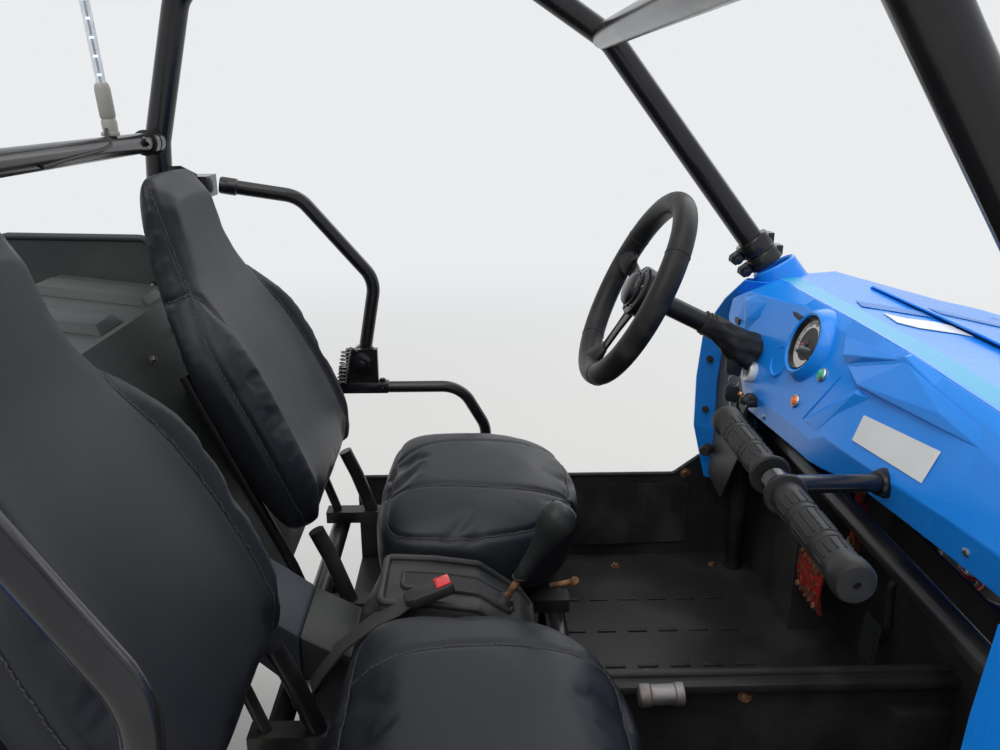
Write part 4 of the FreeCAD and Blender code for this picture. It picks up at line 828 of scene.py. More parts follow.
class UTV_OT_seats(Operator):
    """Stuff, seam and stitch the driver's seat and mirror it for the passenger"""

    bl_idname = "utv.seats"
    bl_label = "Seats"

    # Along the back in metres: height, half width, outer seam, inner seam,
    # middle panel's front, bolster's rise, rear face
    BACK_ROWS = [
        (0.006, 0.176, 0.172, 0.146, -0.04, 0.008, -0.07),
        (0.02, 0.192, 0.186, 0.148, -0.036, 0.014, -0.082),
        (0.09, 0.206, 0.202, 0.15, -0.03, 0.024, -0.088),
        (0.2, 0.21, 0.204, 0.146, -0.03, 0.026, -0.09),
        (0.28, 0.206, 0.198, 0.14, -0.034, 0.026, -0.09),
        (0.325, 0.194, 0.184, 0.136, -0.04, 0.022, -0.09),
        (0.36, 0.174, 0.164, 0.134, -0.046, 0.014, -0.09),
        (0.39, 0.154, 0.146, 0.132, -0.05, 0.003, -0.09),
        (0.43, 0.138, 0.13, 0.1, -0.048, 0.0, -0.088),
        (0.48, 0.128, 0.12, 0.092, -0.04, 0.0, -0.076),
        (0.525, 0.119, 0.111, 0.08, -0.03, 0.0, -0.064),
        (0.55, 0.104, 0.098, 0.07, -0.026, 0.0, -0.056),
        (0.562, 0.084, 0.078, 0.05, -0.032, 0.0, -0.048),
    ]
    # Outer, inner and head seams as (half width, height) on the back's front
    OUTER_SEAM = [(0.19, 0.012), (0.206, 0.09), (0.209, 0.2), (0.203, 0.28), (0.188, 0.33), (0.148, 0.388)]
    INNER_SEAM = [(0.148, 0.012), (0.149, 0.12), (0.14, 0.24), (0.128, 0.32), (0.124, 0.362),
        (0.132, 0.385), (0.148, 0.39)]
    HEAD_SEAM = [(0.148, 0.388), (0.134, 0.43), (0.122, 0.48), (0.113, 0.525), (0.096, 0.556),
        (0.05, 0.566)]

    # Up the cushion in metres: height, share of the plan's size
    CUSHION_ROWS = [(0.484, 0.9), (0.496, 0.965), (0.53, 0.985), (0.572, 0.985), (0.602, 0.945),
        (0.619, 0.84), (0.629, 0.57), (0.632, 0.27)]
    PLAN = [
        # x, y of half the cushion's plan, from its front middle to its rear middle
        (0.108, 0.0), (0.104, 0.07), (0.082, 0.134), (0.036, 0.184), (-0.03, 0.21), (-0.11, 0.216),
        (-0.172, 0.21), (-0.204, 0.188), (-0.217, 0.142), (-0.219, 0.06), (-0.219, 0.0)]
    CUSHION_SEAM_Y = 0.088
    EDGE_SEAM_SHARE = 0.9
    SEAM_STEP = 0.003
    SEAM_WIDTH = 0.0055
    FILL = 0.85

    def execute(self, context):
        self.settings = context.scene.utv_seats
        self.make_back()
        self.make_cushion()
        return {"FINISHED"}

    def lean(self, forward, across, height):
        """Point of the seat back's own frame in the machine's."""
        angle = self.settings.recline
        foot = self.settings.foot
        return Vector((foot[0] + forward * cos(angle) - height * sin(angle), self.settings.centre + across,
            foot[2] + forward * sin(angle) + height * cos(angle)))

    def back_ring(self, row):
        height, half, outer, inner, middle, rise, rear = row
        waist = (middle + rear) / 2
        side = [
            # forward, across
            (middle + 0.001, inner * 0.5), (middle, inner), (middle + rise, inner + 0.35 * (outer - inner)),
            (middle + rise, inner + 0.75 * (outer - inner)), (middle + 0.4 * rise, outer), (waist, half),
            (rear + 0.012, half - 0.002), (rear, half - 0.022), (rear, half * 0.45)]
        ring = [(middle + 0.002, 0.0)] + side + [(rear, 0.0)]
        ring += [(forward, -across) for forward, across in reversed(side)]
        return [self.lean(forward, across, height) for forward, across in ring]

    def make_back(self):
        mesh = Shape().skin([self.back_ring(row) for row in self.BACK_ROWS]).mesh("back")
        mesh = stuffed(mesh, self.settings.voxel, self.settings.pressure, self.settings.swell)
        ahead = self.lean(1, 0, 0) - self.lean(0, 0, 0)
        lines = []
        for side in (-1, 1):
            aside = Vector((0, side, 0))
            rows = [
                # seam, where it is looked for from
                (self.OUTER_SEAM, ahead + aside * 0.9),
                (self.INNER_SEAM, ahead),
                (self.HEAD_SEAM, ahead + aside * 0.9),
            ]
            for seam, view in rows:
                view = view.normalized()
                points = curved([self.lean(-0.03, across * side, height) for across, height in seam], 10)
                lines.append(laid_on(mesh, [point + view * 0.3 for point in spaced(points, self.SEAM_STEP)],
                    -view))
            shoulder = [self.lean(forward, 0.148 * side, 0.389) for forward in (-0.052, -0.07, -0.088)]
            out = [point + aside * 0.2 for point in spaced(shoulder, self.SEAM_STEP)]
            lines.append(laid_on(mesh, out, -aside))
        self.finish_cover("seat_back", mesh, lines, 0.0034)

    def make_cushion(self):
        plan = list(self.PLAN)
        plan += [(x, -y) for x, y in reversed(plan[1:-1])]
        middle = (self.PLAN[0][0] + self.PLAN[-1][0]) / 2
        rings = []
        for height, share in self.CUSHION_ROWS:
            rings.append([(middle + (x - middle) * share, self.settings.centre + y * share, height)
                for x, y in plan])
        mesh = Shape().skin(rings).mesh("cushion")
        mesh = stuffed(mesh, self.settings.voxel, self.settings.pressure, self.settings.swell)
        lines = []
        for side in (-1, 1):
            arc = [(-0.2, 0.8), (-0.12, 0.97), (-0.03, 1.05), (0.05, 1.0), (0.098, 0.85)]
            seam = curved([(x, self.settings.centre + side * self.CUSHION_SEAM_Y * share, 0.8)
                for x, share in arc], 10)
            lines.append(laid_on(mesh, spaced(seam, self.SEAM_STEP), -UP))
        share = self.EDGE_SEAM_SHARE
        edge = [(middle + (x - middle) * share, self.settings.centre + y * share, 0.8) for x, y in plan]
        edge = curved(edge + edge[:1], 6)
        lines.append(laid_on(mesh, spaced(edge, self.SEAM_STEP), -UP))
        self.finish_cover("seat_cushion", mesh, lines, 0.0036)

    def finish_cover(self, name, mesh, lines, depth):
        """Sink the seams, lay a near-black cord in them as painted shade and thread along them, and mirror
        the lot for the other seat.
        """
        pressed(mesh, [point for line in lines for point in line], self.SEAM_WIDTH, depth)
        mesh.materials.clear()
        cover = settle(f"{name}_cover_left", mesh, ["seat_vinyl"], replaces=(f"{name}_left",), smooth=180.0)
        seams = Shape()
        for line in lines:
            sunk = laid_back(mesh, line)
            # near-black cord in the sunk seam: painted shade of its crease
            seams.paint(0).pipe(sunk[::2] + sunk[-1:], 0.0012, rounds=1)
            seams.paint(1)
            step = max(1, round(self.settings.stitch / self.SEAM_STEP))
            for index in range(0, len(sunk) - 2, step):
                run = (sunk[index + 1] - sunk[index]).normalized()
                seams.rod(sunk[index], sunk[index] + run * 0.0045, 0.0013, sides=6)
        seams.piece(f"{name}_seams_left", ["seam", "thread"])
        for each in (f"{name}_cover_left", f"{name}_seams_left"):
            source = bpy.data.objects[each]
            other = source.data.copy()
            part = bmesh.new()
            part.from_mesh(other)
            bmesh.ops.scale(part, vec=(1, -1, 1), verts=part.verts)
            bmesh.ops.reverse_faces(part, faces=part.faces)
            part.to_mesh(other)
            part.free()
            made = bpy.data.objects.new(each.replace("left", "right"), other)
            link(made)
            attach(made, CHASSIS)
            if "cover" in each:
                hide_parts(f"{name}_right")


class DashSettings(PropertyGroup):
    panel: FloatProperty(name="Panel", description="Thickness of the moulded panels", default=0.004,
        unit="LENGTH")
    fold: FloatProperty(name="Fold", description="Rounding of the panels' folds", default=0.003,
        unit="LENGTH")
    # Width of the cyan band that paints the highlight along the cowl's ridge
    stripe: FloatProperty(name="Stripe", description="Width of the stripe behind the dash", default=0.026,
        unit="LENGTH")


class UTV_OT_dash(Operator):
    """Fold the blue dash with its cheeks and the black panel beside it"""

    bl_idname = "utv.dash"
    bl_label = "Dash"

    # Across the dash in metres: y, then x and z of its ridge, brow, middle, lip and base
    FACE_ROWS = [
        (-0.47, (0.44, 0.882), (0.408, 0.862), (0.4, 0.84), (0.396, 0.815), (0.404, 0.79)),
        (-0.4, (0.443, 0.905), (0.418, 0.885), (0.408, 0.862), (0.398, 0.826), (0.406, 0.786)),
        (-0.343, (0.445, 0.916), (0.426, 0.9), (0.416, 0.882), (0.4, 0.824), (0.41, 0.78)),
        (-0.264, (0.445, 0.921), (0.431, 0.908), (0.42, 0.8905), (0.398, 0.818), (0.406, 0.777)),
        (-0.148, (0.445, 0.925), (0.433, 0.914), (0.425, 0.894), (0.393, 0.806), (0.4, 0.77)),
        (-0.075, (0.445, 0.928), (0.435, 0.9257), (0.42, 0.876), (0.39, 0.8), (0.397, 0.765)),
        (0.0, (0.445, 0.928), (0.428, 0.905), (0.408, 0.85), (0.385, 0.795), (0.388, 0.75)),
        (0.04, (0.445, 0.928), (0.43, 0.905), (0.402, 0.835), (0.383, 0.776), (0.385, 0.744)),
        (0.085, (0.445, 0.928), (0.432, 0.912), (0.403, 0.84), (0.382, 0.775), (0.384, 0.742)),
        (0.222, (0.445, 0.926), (0.428, 0.915), (0.396, 0.83), (0.378, 0.765), (0.381, 0.732)),
        (0.29, (0.445, 0.925), (0.415, 0.908), (0.385, 0.812), (0.376, 0.765), (0.379, 0.728)),
        (0.335, (0.445, 0.925), (0.404, 0.905), (0.376, 0.805), (0.376, 0.786), (0.379, 0.772)),
        (0.378, (0.445, 0.922), (0.396, 0.902), (0.377, 0.84), (0.378, 0.822), (0.38, 0.812)),
        (0.43, (0.442, 0.912), (0.386, 0.878), (0.382, 0.852), (0.382, 0.842), (0.384, 0.834)),
    ]
    # Down a cheek in metres: z, outer y, rear x
    CHEEK_ROWS = [(0.914, 0.432, 0.398), (0.872, 0.476, 0.38), (0.8, 0.545, 0.366), (0.7, 0.558, 0.362),
        (0.6, 0.558, 0.364), (0.545, 0.558, 0.378), (0.49, 0.558, 0.392)]
    COWL_FRONT = 0.562
    COWL_SIDE = 0.56
    COWL_SHOULDER = 0.79
    SHOULDER_SLOPE = 0.13 / 0.135

    def execute(self, context):
        settings = context.scene.utv_dash
        self.panel = settings.panel
        self.fold = settings.fold
        shape = Shape()
        rows = [[(x, y, z) for x, z in places] for y, *places in self.FACE_ROWS]
        shape.sheet(rows, (-1, 0, 0), self.panel, self.fold)
        self.cheeks(shape)
        self.cover(shape, settings.stripe)
        self.sockets(shape)
        shape.piece("dash_panels", ["blue_plastic", "cyan_paint_and_ridge_highlight", "black_plastic"], replaces=("dash",),
            slot="blue_plastic", smooth=7.0)
        return {"FINISHED"}

    def cheeks(self, shape):
        """Side panels whose rear edges turn in, with the screw heads on the driver's one."""
        shape.paint(0)
        for side in (-1, 1):
            rows = []
            for z, y, x in self.CHEEK_ROWS:
                cowl = self.COWL_SIDE - max(0.0, z - self.COWL_SHOULDER) * self.SHOULDER_SLOPE
                rows.append([(x + 0.034, side * (y - 0.046), z), (x, side * (y - 0.02), z),
                    (x + 0.01, side * y, z), (self.COWL_FRONT, side * cowl, z)])
            shape.sheet(rows, (0, side, 0), self.panel, self.fold)
        shape.sheet([[(0.376, -0.4, 0.79), (0.366, -0.402, 0.7), (0.362, -0.404, 0.64)],
            [(0.374, -0.47, 0.79), (0.364, -0.47, 0.7), (0.36, -0.47, 0.64)],
            [(0.38, -0.545, 0.79), (0.37, -0.552, 0.7), (0.366, -0.552, 0.64)]], (-1, 0, 0), self.panel)
        shape.paint(2).plate([(0.398, 0.34, 0.845), (0.398, 0.515, 0.86), (0.398, 0.53, 0.78),
            (0.398, 0.53, 0.5), (0.398, 0.44, 0.49), (0.398, 0.34, 0.64)], (1, 0, 0), 0.004)
        inward = Vector((-0.61, -0.79, 0))
        for y, z in ((0.5165, 0.742), (0.5195, 0.64)):
            shape.bolt((0.38, y, z), inward, 0.006)
        shape.lathe([(0, 0.02), (0.009, 0.019), (0.011, 0.014), (0.011, 0), (0, 0)], (0.39, 0.516, 0.56),
            inward)

    def cover(self, shape, stripe):
        """Top of the cowl, with a cyan band along its ridge that paints the rolled edge's highlight."""
        # The middle band is cyan: painted highlight along the ridge
        for band, slot in (((0.4445, 0.449), 0), ((0.449, 0.449 + stripe), 1),
                ((0.449 + stripe, self.COWL_FRONT), 0)):
            shape.paint(slot)
            rows = []
            for y, ridge, *_ in self.FACE_ROWS:
                edge = abs(y) - 0.43
                front = 0.925 - max(0.0, edge) / self.SHOULDER_SLOPE
                share = [(x - ridge[0]) / (self.COWL_FRONT - ridge[0]) for x in band]
                rows.append([(x, y, ridge[1] + (front - ridge[1]) * part + 0.004 * sin(pi * part))
                    for x, part in zip(band, share)])
            shape.sheet(rows, (0, 0, 1), self.panel)

    def sockets(self, shape):
        """Raised collars that the front pillars stand in."""
        shape.paint(0)
        for side in (-1, 1):
            foot = Vector((0.474, side * 0.42, 0.896))
            top = Vector((0.447, side * 0.43, 0.944))
            along = (top - foot).normalized()
            ring = [(0.05, -0.012), (0.042, 0.014), (0.0375, 0.046), (0.035, 0.049), (0.032, 0.046),
                (0.032, -0.012)]
            shape.lathe(ring, foot, along, steps=40)


class UTV_OT_hood(Operator):
    """Fold the hood with its crown, groove lines, stripes, strips of painted groove shade and the lamps' nose
    """

    bl_idname = "utv.hood"
    bl_label = "Hood"

    # Along the hood in metres: x, then half width and height of its top, shoulder and foot,
    # crown's half width, rise
    ROWS = [
        (0.56, (0.43, 0.925), (0.56, 0.79), (0.56, 0.646), 0.3, 0.006),
        (0.69, (0.3, 0.9), (0.39, 0.84), (0.4, 0.626), 0.225, 0.01),
        (0.81, (0.262, 0.868), (0.35, 0.808), (0.384, 0.626), 0.185, 0.01),
        (0.93, (0.22, 0.83), (0.31, 0.775), (0.366, 0.626), 0.15, 0.01),
        (1.06, (0.175, 0.765), (0.25, 0.72), (0.262, 0.621), 0.115, 0.008),
        (1.14, (0.14, 0.7), (0.19, 0.665), (0.2, 0.602), 0.09, 0.004),
    ]
    GROOVE = 0.012
    FILM = 0.0006

    def execute(self, context):
        panel = context.scene.utv_dash.panel
        rows = []
        for x, top, shoulder, foot, crown, rise in self.ROWS:
            half = [foot, shoulder, top, (crown + self.GROOVE, top[1] + 0.001), (crown, top[1] - 0.005),
                (crown - self.GROOVE, top[1] + rise), (0.02, top[1] + rise + 0.003)]
            across = [(x, y, z) for y, z in half]
            across += [(x, -y, z) for y, z in reversed(half)]
            rows.append(across)
        shape = Shape().sheet(rows, (0, 0, 1), panel, 0.003)
        self.nose(shape)
        self.decals(shape)
        shape.piece("hood_panels", ["blue_plastic", "white_paint", "cyan_paint_and_ridge_highlight", "black_plastic",
            "blue_painted_groove_shade"], replaces=("hood",), slot="blue_plastic", smooth=16.0)
        return {"FINISHED"}

    def nose(self, shape):
        """Black grille under a blue bar between the lamps."""
        shape.paint(0).box((1.128, -0.09, 0.655), (1.146, 0.09, 0.7), 0.004)
        shape.box((1.12, -0.196, 0.602), (1.144, 0.196, 0.626), 0.005)
        for side in (-1, 1):
            shape.box((1.116, side * 0.18 - 0.011, 0.61), (1.142, side * 0.18 + 0.011, 0.69), 0.004)
        shape.paint(3)
        for index in range(4):
            z = 0.634 + 0.006 * index
            shape.box((1.124, -0.088, z), (1.136, 0.088, z + 0.003), 0.0008)

    def decals(self, shape):
        """White slivers, darker blue strips that paint the grooves' shade and cyan darts on the top."""
        tree = BVHTree.FromBMesh(shape.bm)
        outlines = [
            # slot, corners (x, y) on one side
            (1, [(0.66, 0.14), (0.72, 0.11), (0.8, 0.088), (0.73, 0.122)]),
            # darker blue strips: painted shade along the grooves
            (4, [(0.566, 0.13), (0.566, 0.094), (0.68, 0.03), (0.7, 0.038)]),
            (2, [(0.8, 0.085), (0.98, 0.04), (0.99, 0.06), (0.83, 0.105)]),
        ]
        for slot, corners, side in [(*outline, side) for outline in outlines for side in (1, -1)]:
            points = []
            for x, y in corners:
                hit, normal, *_ = tree.ray_cast(Vector((x, side * y, 1.4)), -UP)
                points.append(hit + normal * self.FILM)
            shape.paint(slot).plate(points, (0, 0, 1), self.FILM, bevel=0.0)


class TyreSettings(PropertyGroup):
    lug_height: FloatProperty(name="Lug height", description="How far the bars stand out of the tread",
        default=0.013, unit="LENGTH")
    lug_width: FloatProperty(name="Lug width", description="Width of a bar", default=0.027, unit="LENGTH")
    lug_skew: FloatProperty(name="Lug skew", description="Slant of a bar", default=radians(14.0),
        unit="ROTATION")
    pairs: IntProperty(name="Pairs", description="Pairs of bars on a tyre", default=11, min=6, max=24)


class UTV_OT_tyres(Operator):
    """Turn the four tyres, with their bars and small knobs"""

    bl_idname = "utv.tyres"
    bl_label = "Tyres"

    BEAD = 0.127
    TREAD_HALF = 0.72

    def execute(self, context):
        self.settings = context.scene.utv_tyres
        for side in ("left", "right"):
            node = f"tyre_front_{side}"
            low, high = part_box(node)
            shape = Shape()
            self.tyre(shape, low, high)
            shape.piece(f"{node}_rubber", ["tyre"], body=f"wheel_front_{side}", slot="tyre",
                replaces=(node,))
        low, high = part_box("tyres_rear")
        inner = 0.381
        shape = Shape()
        for side in (-1, 1):
            near = Vector((low.x, min(side * inner, side * high.y), low.z))
            far = Vector((high.x, max(side * inner, side * high.y), high.z))
            self.tyre(shape, near, far)
        shape.piece("tyres_rear_rubber", ["tyre"], body="rear_axle", slot="tyre", replaces=("tyres_rear",))
        return {"FINISHED"}

    def tyre(self, shape, low, high):
        centre = (low + high) / 2
        tip = (high.z - low.z) / 2
        half = (high.y - low.y) / 2
        tread = tip - self.settings.lug_height
        shoulder = tread - 0.28 * (tread - self.BEAD)
        section = [(self.BEAD, half * 0.8), (self.BEAD + 0.01, half * 0.86),
            (self.BEAD + 0.018, half * 0.84), (self.BEAD + 0.35 * (tread - self.BEAD), half * 0.985),
            (shoulder - 0.012, half * 0.99), (shoulder + 0.01, half * 0.95), (tread - 0.006, half * 0.78),
            (tread - 0.001, half * 0.55), (tread + 0.001, half * 0.2)]
        section += [(radius, -along) for radius, along in reversed(section)]
        shape.lathe(section, centre, (0, 1, 0), steps=88)
        bar = [(tread - 0.01, 0.004), (tip, 0.004), (tip, half * self.TREAD_HALF * 0.98),
            (shoulder + 0.004, half * 0.995), (shoulder - 0.01, half * 0.97)]
        for index in range(self.settings.pairs):
            turn = turned(90 + 360 * index / self.settings.pairs, "Y")
            for side in (-1, 1):
                self.bar(shape, centre, turn, side, bar, self.settings.lug_skew)
            offset = turned(90 + 360 * (index + 0.5) / self.settings.pairs, "Y")
            for side in (-1, 1):
                knob = [(tread - 0.01, half * 0.46), (tip - 0.003, half * 0.46), (tip - 0.003, half * 0.68),
                    (shoulder + 0.006, half * 0.965), (shoulder - 0.004, half * 0.93)]
                self.bar(shape, centre, offset, side, knob, 0.0)

    def bar(self, shape, centre, turn, side, corners, skew):
        """One bar from its (radius, along) corners, slanted and turned to its place."""
        width = self.settings.lug_width
        slant = Matrix.Rotation(skew * side, 3, "X")
        points = [turn @ (slant @ Vector((radius, along * side, -width / 2))) + centre
            for radius, along in corners]
        shape.plate(points, turn @ (slant @ UP), width, bevel=0.0022)


class SteeringSettings(PropertyGroup):
    across: FloatProperty(name="Across", description="Diameter of the wheel", default=0.325, unit="LENGTH")
    rim: FloatProperty(name="Rim", description="Thickness of the rim's padding", default=0.036,
        unit="LENGTH")


class UTV_OT_steering(Operator):
    """Pad the steering wheel, dish its spokes and sleeve the column"""

    bl_idname = "utv.steering"
    bl_label = "Steering"

    CENTRE = Vector((0.187, 0.29, 0.927))
    TILT = 26.0
    SPOKES = (-10.0, 80.0, 170.0)
    SEAMS = (-27.0, 50.0, 110.0, 214.0)

    def execute(self, context):
        settings = context.scene.utv_steering
        tilt = radians(self.TILT)
        self.along = Vector((cos(tilt), 0, -sin(tilt)))
        self.down = ACROSS.cross(self.along)
        self.ring = (settings.across - settings.rim) / 2
        self.pad = settings.rim / 2
        self.wheel()
        self.column()
        return {"FINISHED"}

    def outward(self, degrees):
        angle = radians(degrees)
        return self.down * sin(angle) + ACROSS * cos(angle)

    def at(self, distance):
        return self.CENTRE + self.along * distance

    def wheel(self):
        shape = Shape()
        section = [(self.ring + self.pad * cos(turn), self.pad * sin(turn)) for turn in ROUND]
        shape.lathe(section, self.CENTRE, self.along, steps=96)
        for degrees in self.SPOKES:
            outward = self.outward(degrees)
            across = outward.cross(self.along)
            rings = []
            for reach, width, height, back in ((0.106, 0.016, 0.005, 0.006), (0.109, 0.0185, 0.0078, 0.005),
                    (0.12, 0.0205, 0.0105, 0.003), (0.138, 0.025, 0.0165, 0.0)):
                middle = self.at(back) + outward * reach
                rings.append([middle + across * width * cos(turn) + self.along * height * sin(turn)
                    for turn in ROUND])
            shape.skin(rings)
        # Near-black rings at the wrap's seams: painted shade of their creases
        shape.paint(1)
        for degrees in self.SEAMS:
            outward = self.outward(degrees)
            middle = self.CENTRE + outward * self.ring
            shape.pipe([middle + (outward * cos(turn) + self.along * sin(turn)) * self.pad
                for turn in ROUND], 0.0008, rounds=1, closed=True)
        shape.paint(2)
        for degrees in self.SPOKES:
            outward = self.outward(degrees)
            across = outward.cross(self.along)
            root = self.at(0.012) + outward * 0.022
            tip = self.at(0.004) + outward * 0.122
            shape.plate([root - across * 0.02, root + across * 0.02, root.lerp(tip, 0.45) + across * 0.0135,
                tip + across * 0.0125, tip - across * 0.0125, root.lerp(tip, 0.45) - across * 0.0135],
                self.along, 0.005, bevel=0.0014)
        shape.lathe([(0, 0.001), (0.036, 0.001), (0.0395, 0.003), (0.041, 0.007), (0.0395, 0.0185),
            (0.03, 0.022), (0, 0.022)], self.CENTRE, self.along)
        shape.lathe([(0, -0.015), (0.01, -0.0146), (0.019, -0.0128), (0.0255, -0.0095), (0.0275, -0.0065),
            (0.028, -0.004), (0.03, -0.003), (0.0305, 0.003), (0, 0.003)], self.CENTRE, self.along)
        shape.rod(self.at(0.02), self.at(0.045), 0.022, tip=0.019, bevel=0.001)
        shape.rod(self.at(0.03), self.at(0.41), 0.008)
        shape.paint(3)
        for index in range(6):
            shape.bolt(self.at(0.002) + self.outward(20 + 60 * index) * 0.0345, -self.along, 0.0032)
        shape.piece("steering_wheel_padded", ["wheel_rubber", "seam", "cage_black", "dull_steel"],
            body="steering_wheel", slot="wheel_rubber", replaces=("steering_wheel",))

    def column(self):
        shape = Shape()
        shape.lathe([(0.0081, 0.06), (0.0155, 0.06), (0.016, 0.0605), (0.016, 0.3895), (0.0155, 0.39),
            (0.0081, 0.39)], self.CENTRE, self.along)
        shape.paint(1)
        rows = [
            # distance along, radius, sag
            (0.122, 0.0166, 0.0), (0.124, 0.0182, 0.0), (0.136, 0.0184, 0.0), (0.144, 0.0192, 0.0),
            (0.152, 0.0192, 0.001), (0.16, 0.021, 0.002), (0.168, 0.0215, 0.004), (0.176, 0.0245, 0.006),
            (0.184, 0.0255, 0.008), (0.192, 0.0275, 0.01), (0.202, 0.0285, 0.011), (0.214, 0.029, 0.011)]
        rings = []
        for index, (distance, radius, sag) in enumerate(rows):
            folds = 0.09 * min(1.0, index / 5)
            middle = self.at(distance) - Vector((0, 0, sag))
            ring = []
            for step in range(56):
                turn = 2 * pi * step / 56
                reach = radius * (1 + folds * sin(5 * turn + index * 0.8)
                    + folds * 0.5 * sin(9 * turn - index))
                ring.append(middle + (ACROSS * cos(turn) + self.down * sin(turn)) * reach)
            rings.append(ring)
        shape.skin(rings)
        shape.paint(2)
        for distance, radius in ((0.127, 0.0187), (0.134, 0.0189), (0.141, 0.0194)):
            shape.pipe(
                [self.at(distance) + self.outward(15 * step) * radius
                + self.along * 0.003 * sin(radians(15 * step)) for step in range(24)], 0.0011, rounds=1,
                closed=True)
        shape.piece("steering_column_sleeved", ["frame_black", "grip_rubber", "black_plastic"],
            slot="frame_black", replaces=("steering_column",))


